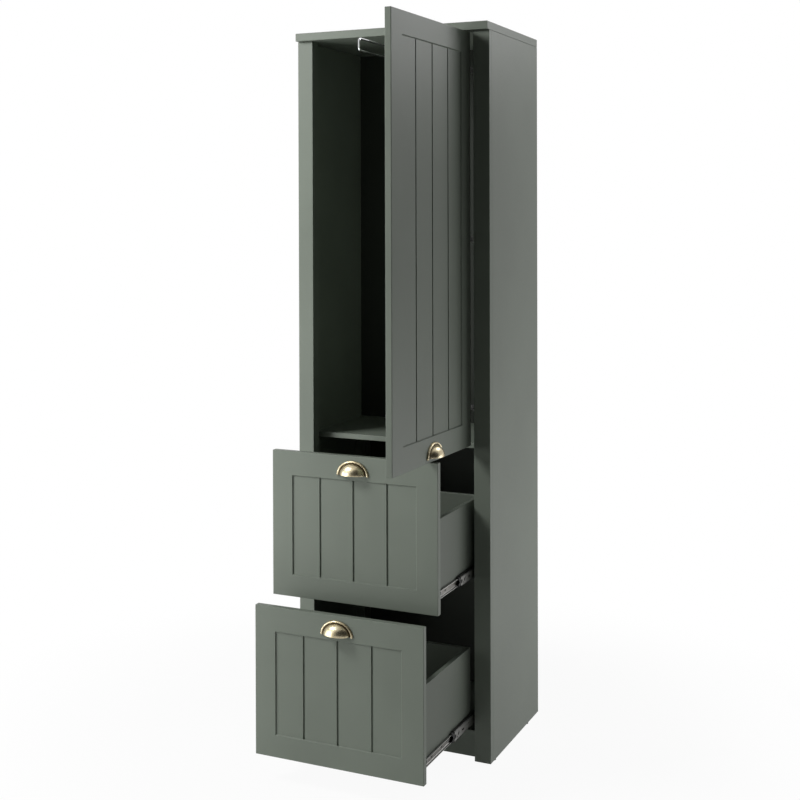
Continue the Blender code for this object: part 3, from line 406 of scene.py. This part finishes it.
# %% Finishes by name
def finish_for(name):
    # The back board and the hinge batten take the near-black coat, painted shade for the deep
    # inside and the hinge gap.
    if name in ("back_panel", "hinge_batten"):
        return dark_shade_paint
    if name == "clothes_rail":
        return chrome
    if name in brass:
        return brass[name]
    if "glide" in name or "retainer" in name or name == "rail_slider":
        return plastic
    if "hinge_cup" in name or "hinge_link" in name:
        return nickel
    if "slide_" in name or "hinge_arm" in name or name == "rail_carrier":
        return zinc
    if "_drawer_" in name and not name.endswith("front"):
        return drawer_shaded_paint
    return paint


for name, node in nodes.items():
    node.data.materials.clear()
    node.data.materials.append(finish_for(name))
print("finishes:", len(bpy.data.materials))

# %% [markdown]
# ## Small metal parts
#
# The solids of the model leave out screws and balls, and give the slides plain square bends. The
# real slide is rolled from steel strip: its edges turn over in a soft shoulder, its middle strip
# is pierced where the stop hooks in, and steel balls run in a black cage between the strips. Such
# parts can be modelled by pushing and pulling a box, but here they are drawn as flat outlines and
# given length, because that is how rolls and punches make them. First come the tools that they
# share.

# %% A finished piece
CREASE = math.radians(35)


def finished(name, shape, finish, body, replaced=()):
    """Turns a bmesh into a piece that rides on a body, with crisp bends and evenly shaded flats."""
    bmesh.ops.recalc_face_normals(shape, faces=shape.faces)
    mesh = bpy.data.meshes.new(name)
    shape.to_mesh(mesh)
    shape.free()
    mesh.materials.append(finish)
    mesh.polygons.foreach_set("use_smooth", [True] * len(mesh.polygons))
    mesh.set_sharp_from_angle(angle=CREASE)
    piece = bpy.data.objects.new(name, mesh)
    bpy.context.scene.collection.objects.link(piece)
    piece.modifiers.new("even_flats", "WEIGHTED_NORMAL").keep_sharp = True
    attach(piece, body)
    if replaced:
        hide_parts(*replaced)
    return piece


print("bends over", round(math.degrees(CREASE)), "degrees stay crisp")


# %% Joining and cutting
def added_to(shape, other):
    """Copies the other bmesh into the first, and frees the other."""
    mesh = bpy.data.meshes.new("copied")
    other.to_mesh(mesh)
    other.free()
    shape.from_mesh(mesh)
    bpy.data.meshes.remove(mesh)


def combined(shape, other, operation="DIFFERENCE"):
    """Takes one closed bmesh out of another with a boolean, or joins the two."""
    objects = []
    for solid in (shape, other):
        mesh = bpy.data.meshes.new("cut")
        bmesh.ops.recalc_face_normals(solid, faces=solid.faces)
        solid.to_mesh(mesh)
        solid.free()
        objects.append(bpy.data.objects.new("cut", mesh))
        bpy.context.scene.collection.objects.link(objects[-1])
    boolean = objects[0].modifiers.new("cut", "BOOLEAN")
    boolean.operation = operation
    boolean.solver = "EXACT"
    boolean.object = objects[1]
    ready = objects[0].evaluated_get(bpy.context.evaluated_depsgraph_get())
    rest = bmesh.new()
    rest.from_mesh(ready.to_mesh())
    ready.to_mesh_clear()
    for piece in objects:
        mesh = piece.data
        bpy.data.objects.remove(piece)
        bpy.data.meshes.remove(mesh)
    return rest


print("cuts and joins use the exact boolean")


# %% Outlines
def arc(centre, radius, start, end, steps=5):
    """Points on a circle, with angles in degrees."""
    points = []
    for step in range(steps + 1):
        turn = math.radians(start + (end - start) * step / steps)
        points.append((centre[0] + radius * math.cos(turn), centre[1] + radius * math.sin(turn)))
    return points


def slot_outline(centre, length, width, lean=0.0, steps=6):
    """A hole with straight sides and round ends, turned by an angle."""
    half = (length - width) / 2
    ends = arc((half, 0), width / 2, -90, 90, steps) + arc((-half, 0), width / 2, 90, 270, steps)
    sine, cosine = math.sin(math.radians(lean)), math.cos(math.radians(lean))
    turned_ends = [(x * cosine - y * sine, x * sine + y * cosine) for x, y in ends]
    return [(centre[0] + x, centre[1] + y) for x, y in turned_ends]


print("a slot has", len(slot_outline((0, 0), 0.010, 0.0046)), "points")


# %% Outlines given length
def wall_between(shape, lower, upper):
    """A closed band of faces from one ring of points to the next."""
    for index in range(len(lower)):
        following = (index + 1) % len(lower)
        shape.faces.new((lower[index], lower[following], upper[following], upper[index]))


def prism(outline, low, high, placed=lambda x, y, depth: (x, y, depth)):
    """A flat outline given thickness. The function placed turns (x, y) and a depth into a point."""
    shape = bmesh.new()
    rings = [[shape.verts.new(placed(*point, depth)) for point in outline] for depth in (low, high)]
    for ring in rings:
        shape.faces.new(ring)
    wall_between(shape, *rings)
    return shape


def rolled_sheet(line, thickness, start, end, placed):
    """A strip with the bends of a line of (depth, height) points, drawn out from start to end."""
    last = len(line) - 1
    outer, inner = [], []
    for index, point in enumerate(line):
        way = Vector(line[min(index + 1, last)]) - Vector(line[max(index - 1, 0)])
        outwards = Vector((-way.y, way.x)).normalized() * thickness / 2
        outer.append(Vector(point) + outwards)
        inner.append(Vector(point) - outwards)
    outline = outer + inner[::-1]
    shape = bmesh.new()
    rings = [[shape.verts.new(placed(*point, y)) for point in outline] for y in (start, end)]
    wall_between(shape, *rings)
    for ring in rings:
        for index in range(last):
            shape.faces.new((ring[index], ring[index + 1], ring[-2 - index], ring[-1 - index]))
    return shape


def turned(profile, steps, middle=(0, 0), squash=1.0):
    """A solid turned about z, from a line of (radius, height) points, closed at both ends."""
    shape = bmesh.new()
    turns = [2 * math.pi * step / steps for step in range(steps)]
    rings = []
    for out, rise in profile:
        spots = [(out * math.cos(turn), out * math.sin(turn) * squash) for turn in turns]
        rings.append([shape.verts.new((middle[0] + x, middle[1] + y, rise)) for x, y in spots])
    for lower, upper in zip(rings, rings[1:]):
        wall_between(shape, lower, upper)
    shape.faces.new(rings[0])
    shape.faces.new(rings[-1])
    return shape


print("an outline becomes a prism, a rolled sheet or a turned solid")

# %% [markdown]
# ## Screw heads
#
# The visible screws are domed pan heads with a cross recess. Each could be modelled where it
# sits, but they are all alike, so one head is turned on a lathe line, its cross is cut out once,
# and copies of it are placed and twisted a little, as no two screws stop at the same angle.

# %% Screws
HEAD_STEPS = 20
HEAD_RADIUS = 0.0036
HEAD_HEIGHT = 0.0021
HEAD_SHARES = ((1, 0), (1, 0.35), (0.92, 0.68), (0.72, 0.9), (0.38, 1))
CROSS_ARM = HEAD_RADIUS * 0.55
CROSS_HALF_WIDTH = HEAD_RADIUS * 0.13
CROSS_FLOOR = HEAD_HEIGHT * 0.35
CROSS_TOP = HEAD_HEIGHT * 1.5
FIRST_TWIST = 0.3
NEXT_TWIST = 0.7


def pan_screw():
    """A domed screw head with a cross recess, that stands on the plane z = 0."""
    profile = [(HEAD_RADIUS * out, HEAD_HEIGHT * rise) for out, rise in HEAD_SHARES]
    arm, half = CROSS_ARM, CROSS_HALF_WIDTH
    quarter = [(arm, -half), (arm, half), (half, half)]
    cross = []
    for _ in range(4):
        cross += quarter
        quarter = [(-y, x) for x, y in quarter]
    return combined(turned(profile, HEAD_STEPS), prism(cross, CROSS_FLOOR, CROSS_TOP))


screw_head = bpy.data.meshes.new("screw_head")
template = pan_screw()
template.to_mesh(screw_head)
template.free()


def screws(name, body, places, outwards, scale=(1, 1, 1)):
    """Screw heads at these places, facing outwards, as one piece."""
    facing = Vector(outwards).to_track_quat("Z", "Y").to_matrix().to_4x4()
    shape = bmesh.new()
    for index, place in enumerate(places):
        known = len(shape.verts)
        shape.from_mesh(screw_head)
        shape.verts.ensure_lookup_table()
        twist = Matrix.Rotation(FIRST_TWIST + NEXT_TWIST * index, 4, "Z")
        move = Matrix.Translation(place) @ facing @ twist @ Matrix.Diagonal((*scale, 1))
        bmesh.ops.transform(shape, matrix=move, verts=shape.verts[known:])
    return finished(name, shape, zinc, body)


print("screw head:", len(screw_head.polygons), "faces")

# %% [markdown]
# ## Telescopic slides
#
# Each slide has three strips: one on the cabinet, one on the drawer, and one between them, which
# travels with a plastic cage that holds the balls. A box with a solidify modifier would give
# square bends, so the strips' sections are drawn as lines with round shoulders instead, and the
# holes are punched with booleans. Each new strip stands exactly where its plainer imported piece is
# and takes its place.

# %% A slide's section
SHEET = 0.0012
MIDDLE_SHOULDER = 0.0034
DRAWER_SHOULDER = 0.0024
OVERRUN = 0.001  # how far a punch runs past what it cuts


def strip_line(half_height, shoulder, lip):
    """The middle line of a strip's section, from one lip round the web to the other."""
    edge = half_height - SHEET / 2
    inner = SHEET / 2 + shoulder
    upper = arc((inner, edge - shoulder), shoulder, 90, 180)
    lower = arc((inner, shoulder - edge), shoulder, 180, 270)
    return [(lip, edge), *upper, *lower, (lip, -edge)]


def placed_on(side, face, sense, centre):
    """Turns depth, height and length along a slide into a point of the model."""
    return lambda depth, height, along: (side * (face + sense * depth), along, centre + height)


def add_punch(punches, outline, depth, placed):
    """Adds a punch for a hole of this outline (length, height) through a web, down to a depth."""
    added_to(punches, prism(outline, -OVERRUN, depth, lambda y, z, deep: placed(deep, z, y)))


print("sheet:", SHEET * 1000, "mm")

# %% Middle strip
# Each slot: its place from the strip's front end and from its middle line, length, width and lean.
MIDDLE_SLOTS = (
    (0.0275, 0.0012, 0.013, 0.0052, 38),
    (0.0185, -0.0055, 0.0055, 0.0042, 0),
    (0.058, 0, 0.014, 0.005, 0),
    *[(step, 0, 0.006, 0.0059, 0) for step in (0.10, 0.16, 0.22, 0.28)],
    (0.318, 0, 0.012, 0.005, 0),
)
NOTCH_DEPTH = 0.006
NOTCH_HALF = 0.0052
NOTCH_ROUND = (80, -80, 8)


def front_notch(front):
    """The round-ended notch in the strip's front end, where the stop hooks in."""
    mouth, end = front - 2 * OVERRUN, front + NOTCH_DEPTH
    round_end = arc((end, 0), NOTCH_HALF, *NOTCH_ROUND)
    corners = [(mouth, NOTCH_HALF), (end, NOTCH_HALF), (end, -NOTCH_HALF), (mouth, -NOTCH_HALF)]
    return [*corners[:2], *round_end, *corners[2:]]


def middle_strip(drawer, word, side):
    node = f"{drawer}_{word}_slide_middle_member"
    low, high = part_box(node)
    placed = placed_on(side, max(abs(low.x), abs(high.x)), -1, (low.z + high.z) / 2)
    line = strip_line((high.z - low.z) / 2, MIDDLE_SHOULDER, high.x - low.x - SHEET / 2)
    shape = rolled_sheet(line, SHEET, low.y, high.y, placed)
    slots = [slot_outline((low.y + step, rise), *sizes) for step, rise, *sizes in MIDDLE_SLOTS]
    punches = bmesh.new()
    for outline in (front_notch(low.y), *slots):
        add_punch(punches, outline, 2 * SHEET, placed)
    shape = combined(shape, punches)
    body = f"{drawer}_slide_middles"
    return finished(f"{drawer}_{word}_middle_strip", shape, middle_zinc_grease_and_shade, body, (node,))


print("middle strip:", len(MIDDLE_SLOTS), "slots and a notch")

# %% Drawer strip
DRAWER_SLOTS_FROM_FRONT = (0.045, 0.110, 0.190, 0.240)
DRAWER_SLOT = (0.010, 0.0046)
SCREWS_FROM_FRONT = (0.016, 0.150, 0.285)


def drawer_strip(drawer, word, side):
    node = f"{drawer}_{word}_slide_drawer_member"
    low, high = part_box(node)
    placed = placed_on(side, min(abs(low.x), abs(high.x)), 1, (low.z + high.z) / 2)
    line = strip_line((high.z - low.z) / 2, DRAWER_SHOULDER, high.x - low.x - SHEET / 2)
    shape = rolled_sheet(line, SHEET, low.y, high.y, placed)
    punches = bmesh.new()
    for step in DRAWER_SLOTS_FROM_FRONT:
        add_punch(punches, slot_outline((low.y + step, 0), *DRAWER_SLOT), 2 * SHEET, placed)
    shape = combined(shape, punches)
    body = f"{drawer}_drawer"
    finished(f"{drawer}_{word}_drawer_strip", shape, drawer_zinc_grease_and_shade, body, (node,))
    places = [placed(SHEET, 0, low.y + step) for step in SCREWS_FROM_FRONT]
    screws(f"{drawer}_{word}_slide_screws", body, places, (side, 0, 0))


print("drawer strip:", len(DRAWER_SLOTS_FROM_FRONT), "slots,", len(SCREWS_FROM_FRONT), "screws")

# %% Ball cage
CAGE_WALL = 0.0031
CAGE_WEB = 0.0011
CAGE_SLOPE = 0.0030
CAGE_CORNER = 0.001
NOSE_ABOVE = ((-OVERRUN, 0.006), (0.0045, 0.004))
NOSE_TIP = (0.0065, 0)
LATCH_PLACE = (0.0095, 0.0045)
LATCH = (0.0042, 0.0026, 60)
BALL_RADIUS = 0.00175
BALL_PITCH = 0.012
BALLS_IN_A_ROW = 4
BALL_DEPTH = 0.0044
WINDOW = (0.0058, 0.0040)


def cage_section(wide, half):
    """The cage's section: a thin web with a thick wall above and below, and sloped back corners."""
    upper = [(CAGE_SLOPE, half), (wide, half), (wide, half - CAGE_WALL)]
    upper += [(CAGE_WEB + CAGE_CORNER, half - CAGE_WALL)]
    upper += [(CAGE_WEB, half - CAGE_WALL - CAGE_CORNER)]
    lower = [(depth, -height) for depth, height in reversed(upper)]
    return [*upper, *lower, (0, CAGE_SLOPE - half), (0, half - CAGE_SLOPE)]


def nose_notch(front):
    """The notch in the cage's front end, with a pointed bottom."""
    below = [(step, -rise) for step, rise in reversed(NOSE_ABOVE)]
    return [(front + step, rise) for step, rise in (*NOSE_ABOVE, NOSE_TIP, *below)]


def ball_cage(drawer, word, side):
    """The black cage and the balls in its windows."""
    node = f"{drawer}_{word}_slide_retainer"
    low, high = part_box(node)
    wide, half = high.x - low.x, (high.z - low.z) / 2
    placed = placed_on(side, max(abs(low.x), abs(high.x)), -1, (low.z + high.z) / 2)
    shape = prism(cage_section(wide, half), low.y, high.y, placed)
    punches = bmesh.new()
    add_punch(punches, nose_notch(low.y), wide + OVERRUN, placed)
    latch = slot_outline((low.y + LATCH_PLACE[0], LATCH_PLACE[1]), *LATCH)
    add_punch(punches, latch, CAGE_WEB + OVERRUN, placed)
    ball_places = [low.y + BALL_PITCH * (index + 1.5) for index in range(BALLS_IN_A_ROW)]
    reach = half + OVERRUN
    for along in ball_places:
        window = slot_outline((along, BALL_DEPTH), *WINDOW)
        added_to(punches, prism(window, -reach, reach, lambda y, x, z: placed(x, z, y)))
    shape = combined(shape, punches)
    body = f"{drawer}_slide_middles"
    finished(f"{drawer}_{word}_ball_cage", shape, plastic, body, (node,))
    balls = bmesh.new()
    race = half - CAGE_WALL / 2
    for along in ball_places:
        for level in (race, -race):
            move = Matrix.Translation(placed(BALL_DEPTH, level, along))
            bmesh.ops.create_icosphere(balls, subdivisions=2, radius=BALL_RADIUS, matrix=move)
    finished(f"{drawer}_{word}_balls", balls, zinc, body)


print("cage:", 2 * BALLS_IN_A_ROW, "balls")

# %% The four slides
for drawer in ("upper", "lower"):
    for word, side in (("left", -1), ("right", 1)):
        strip = middle_strip(drawer, word, side)
        drawer_strip(drawer, word, side)
        ball_cage(drawer, word, side)
        print(strip.name, "has", len(strip.data.polygons), "faces")

# %% [markdown]
# ## Screws of the hinges and handles
#
# Each hinge is held by two screws in its plate on the batten and by two in the cup's flange on
# the door, and its arm carries a fixing screw and an adjusting screw. The handles' screws show on
# the back of the fronts. All of them are copies of the one screw head, placed from the box of the
# piece that they hold, so they stay on it. The door stands open at rest, so the screws on it face
# the way that its inner face does then.

# %% Hinge screws
DOOR_ANGLE = math.radians(88.4)
inwards = Vector((-math.sin(DOOR_ANGLE), math.cos(DOOR_ANGLE), 0))
along_door = Vector((math.cos(DOOR_ANGLE), math.sin(DOOR_ANGLE), 0))

# Each size is taken from the box of the arm or the cup: RISE along z, BACK from its rear end.
PLATE_THICKNESS = 0.0021
PLATE_SCREWS_BACK = 0.024
PLATE_SCREWS_RISE = 0.0125
ARM_HEIGHT = 0.0105
ARM_SCREWS_BACK = (0.0150, 0.0300)
ARM_SCREW_SCALE = (0.85, 0.85, 0.6)
CUP_MIDDLE = 0.012
CUP_SCREWS_INSET = 0.0006
CUP_SCREWS_RISE = 0.0245
CUP_SCREW_SCALE = (0.9, 0.9, 0.5)

for word in ("bottom", "middle", "top"):
    low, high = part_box(f"{word}_hinge_arm")
    height = (low.z + high.z) / 2
    plate_place = Vector((high.x - PLATE_THICKNESS, high.y - PLATE_SCREWS_BACK, height))
    places = [plate_place + Vector((0, 0, side * PLATE_SCREWS_RISE)) for side in (-1, 1)]
    screws(f"{word}_hinge_plate_screws", "carcass", places, (-1, 0, 0))
    places = [(high.x - ARM_HEIGHT, high.y - back, height) for back in ARM_SCREWS_BACK]
    screws(f"{word}_hinge_arm_screws", "carcass", places, (-1, 0, 0), ARM_SCREW_SCALE)
    low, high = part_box(f"{word}_hinge_cup")
    cup_place = Vector((low.x + CUP_MIDDLE * along_door.x, (low.y + high.y) / 2, height))
    cup_place -= along_door * CUP_SCREWS_INSET
    places = [cup_place + Vector((0, 0, side * CUP_SCREWS_RISE)) for side in (-1, 1)]
    screws(f"{word}_hinge_cup_screws", "door", places, inwards, CUP_SCREW_SCALE)
    print(word, "hinge at", round(height, 3), "m: 6 screws")

# %% Handle screws
HANDLE_SCREW_REACH = 0.032
HANDLE_SCREW_RISE = 0.009
DOOR_HALF_THICKNESS = 0.0085

for drawer in ("upper", "lower"):
    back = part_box(f"{drawer}_drawer_front")[1].y
    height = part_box(f"{drawer}_drawer_handle")[0].z + HANDLE_SCREW_RISE
    places = [(side * HANDLE_SCREW_REACH, back, height) for side in (-1, 1)]
    screws(f"{drawer}_handle_screws", f"{drawer}_drawer", places, (0, 1, 0))
low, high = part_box("door_panel")
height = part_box("door_handle")[0].z + HANDLE_SCREW_RISE
door_middle = Vector(((low.x + high.x) / 2, (low.y + high.y) / 2, height))
inner_face = door_middle + inwards * DOOR_HALF_THICKNESS
places = [inner_face + along_door * side * HANDLE_SCREW_REACH for side in (-1, 1)]
screws("door_handle_screws", "door", places, inwards)
print("handle screws:", 2 * HANDLE_SCREW_REACH * 1000, "mm apart")

# %% [markdown]
# ## Cup handles
#
# A cup handle is cast as a half bowl with a flange, a raised bead round it, and a round button at
# each end of the bead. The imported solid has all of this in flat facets, and polished metal shows
# every one of them. A subdivision would round them, but it would round the crisp flange too, so
# the same section is turned again in fine steps. It is drawn as a whole bowl and then sliced off
# below, and its buttons are joined on.

# %% Handle section
DOME_RADIUS = 0.03725
DOME_HEIGHT = 0.024
DOME_WALL = 0.0012
DOME_STEPS = 28
INSIDE_STEPS = 24
FLANGE = 0.0015
BEAD_PLACE = 0.0426
BEAD_RADIUS = 0.003
BEAD_STEPS = 14


def handle_section():
    """The handle's section: down the dome's outside, over the bead, and back up inside."""
    foot = math.acos(FLANGE / DOME_HEIGHT)
    turns = [foot * step / DOME_STEPS for step in range(1, DOME_STEPS + 1)]
    outside = [(DOME_RADIUS * math.sin(turn), DOME_HEIGHT * math.cos(turn)) for turn in turns]
    bead = [(BEAD_PLACE + x, FLANGE + y) for x, y in arc((0, 0), BEAD_RADIUS, 180, 0, BEAD_STEPS)]
    radius, height = DOME_RADIUS - DOME_WALL, DOME_HEIGHT - DOME_WALL
    turns = [math.pi / 2 * (1 - step / INSIDE_STEPS) for step in range(INSIDE_STEPS)]
    inside = [(radius * math.sin(turn), height * math.cos(turn)) for turn in turns]
    return [*outside, *bead, (CUP_HALF_WIDTH, FLANGE), (CUP_HALF_WIDTH, 0), *inside]


print("handle section:", len(handle_section()), "points")

# %% One handle
HANDLE_STEPS = 120
BUTTON_RADIUS = 0.0037
BUTTON_RISE = FLANGE * 0.7
BUTTON_ARC = (0, 84, 8)
BUTTON_STEPS = 24
CUT_ABOVE_CENTRE = 0.0006
SLICER_WIDTH = 1
SLICER_DEPTH = 0.1


def button_section():
    return [(BUTTON_RADIUS, 0), *arc((0, BUTTON_RISE), BUTTON_RADIUS, *BUTTON_ARC)]


def cup_handle(name, body, base, outwards):
    """Makes the handle flat on z = 0, then stands it up at its base, facing outwards."""
    squash = CUP_RISE / CUP_HALF_WIDTH
    bowl = turned(handle_section(), HANDLE_STEPS, (0, -CUT_ABOVE_CENTRE), squash)
    far = SLICER_WIDTH
    below = [(-far, -far), (far, -far), (far, 0), (-far, 0)]
    shape = combined(bowl, prism(below, -SLICER_DEPTH, SLICER_DEPTH))
    for side in (-1, 1):
        button = turned(button_section(), BUTTON_STEPS, (side * BEAD_PLACE, 0))
        shape = combined(shape, button, "UNION")
    upright = Vector((0, 0, 1))
    stand = Matrix((upright.cross(outwards), upright, outwards)).transposed().to_4x4()
    bmesh.ops.transform(shape, matrix=Matrix.Translation(base) @ stand, verts=shape.verts)
    return finished(f"{name}_cast", shape, brass[name], body, (name,))


print("a button's section has", len(button_section()), "points")

# %% The three handles
for drawer in ("upper", "lower"):
    low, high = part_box(f"{drawer}_drawer_handle")
    base = Vector(((low.x + high.x) / 2, high.y, high.z - CUP_RISE + CUT_ABOVE_CENTRE))
    cup_handle(f"{drawer}_drawer_handle", f"{drawer}_drawer", base, Vector((0, -1, 0)))
low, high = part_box("door_handle")
base_x = low.x + (high.y - low.y) / 2 * along_door.x
base = Vector((base_x, (low.y + high.y) / 2, high.z - CUP_RISE + CUT_ABOVE_CENTRE))
cast = cup_handle("door_handle", "door", base, -inwards)
print("handles:", len(cast.data.polygons), "faces each")

# %% [markdown]
# ## Lamps
#
# The main light comes from two large soft panels on the left, in front of the wardrobe, one high
# and one low. The open door keeps them off the right post, and the shadow's edge under the door
# shows their slope. Two weaker panels, to the right and behind, light the side panel and the
# door's outer face. Sun or spot lamps would draw hard shadows, which the photograph doesn't have,
# so all four are area lamps.


# %% Lamps
def soft_panel(name, place, aim, power, side=0.9):
    """A square lamp of this side, in metres, that shines from its place towards its aim."""
    lamp = bpy.data.objects.new(name, bpy.data.lights.new(name, "AREA"))
    bpy.context.scene.collection.objects.link(lamp)
    lamp.location = place
    lamp.rotation_euler = (Vector(aim) - Vector(place)).to_track_quat("-Z", "Y").to_euler()
    lamp.data.shape = "SQUARE"
    lamp.data.size = side
    lamp.data.energy = power
    print(name, "at", place, power, "W")


soft_panel("key_panel", place=(-1.55, -1.4, 2.55), aim=(-0.1, 0, 1.3), power=54)
soft_panel("low_panel", place=(-1.6, -1.4, 0.6), aim=(-0.1, 0, 0.8), power=28, side=1.5)
soft_panel("side_panel", place=(1.3, 1.5, 2.5), aim=(0.29, 0.1, 1.2), power=14)
soft_panel("low_side_panel", place=(1.3, 0.7, 0.45), aim=(0.29, 0.1, 1.0), power=6)

# %% [markdown]
# ## White surroundings
#
# The photograph's white ground could be had by flooding the scene with light, but that would
# bleach the cabinet. A Light Path node tells what kind of ray arrives instead: rays from the
# camera, and those that metal or glass send on, see white, while the soft light that reaches the
# boards stays at its own lower level. In a real studio the room behind the camera is dark, and
# polished metal shows it: one side of the white that the metal sees is dimmed in the same way.
# The floor is white to the eye as well, and close to the cabinet it keeps enough of its real
# shading to show the shadow.

# %% World
AMBIENT = 0.03
DARK_SIDE = (0.75, -0.65, -0.15)
DARK_EDGE = (0.18, 0.45)
DARK_SHARE = 0.95
WHITE = (1, 1, 1)

world = bpy.data.worlds.new("studio")
bpy.context.scene.world = world
world.use_nodes = True
room = Graph(world.node_tree)
way = room.node("ShaderNodeTexCoord", output="Generated")
towards = room.vector_maths("DOT_PRODUCT", way, DARK_SIDE, output="Value")
camera_ray = room.node("ShaderNodeLightPath", output="Is Camera Ray")
brightness = 1 - towards.between(*DARK_EDGE) * (1 - camera_ray) * DARK_SHARE
ambient = room.node("ShaderNodeBackground", {}, {"Color": WHITE, "Strength": AMBIENT})
backdrop = room.node("ShaderNodeBackground", {}, {"Color": WHITE, "Strength": brightness})
either = room.node("ShaderNodeMixShader", {}, {0: room.seen(), 1: ambient, 2: backdrop})
room.fill(room.tree.nodes["World Output"].inputs["Surface"], either)
print("world: ambient", AMBIENT, "and white to the eye")

# %% Floor
FLOOR_HALF_WIDTH = 12
FLOOR_WHITE = 0.94
FLOOR_GREY = (0.80, 0.80, 0.80)
ALL_WHITE_BEYOND = (0.7, 1.6)

floor_mesh = bpy.data.meshes.new("floor")
shape = bmesh.new()
bmesh.ops.create_grid(shape, x_segments=1, y_segments=1, size=FLOOR_HALF_WIDTH)
shape.to_mesh(floor_mesh)
shape.free()
floor = bpy.data.objects.new("floor", floor_mesh)
bpy.context.scene.collection.objects.link(floor)
pale = Finish("pale_floor", base_color=FLOOR_GREY, roughness=0.9, specular_ior_level=0.0)
away = pale.vector_maths("LENGTH", pale.place(), output="Value").between(*ALL_WHITE_BEYOND)
white_share = pale.seen() * (FLOOR_WHITE + away * (1 - FLOOR_WHITE))
white = pale.node("ShaderNodeEmission", {}, {"Color": WHITE})
shaded = Value(pale, pale.shader.outputs[0])
either = pale.node("ShaderNodeMixShader", {}, {0: white_share, 1: shaded, 2: white})
pale.fill(pale.tree.nodes["Material Output"].inputs["Surface"], either)
floor_mesh.materials.append(pale.material)
print("floor: white share", FLOOR_WHITE, "near the cabinet")

# %% [markdown]
# ## The view
#
# Blender's default view bends colours the way film does. The Standard view shows each one as it
# is written, which is what a product picture needs.

# %% View settings
bpy.context.scene.view_settings.view_transform = "Standard"
print("view:", bpy.context.scene.view_settings.view_transform)
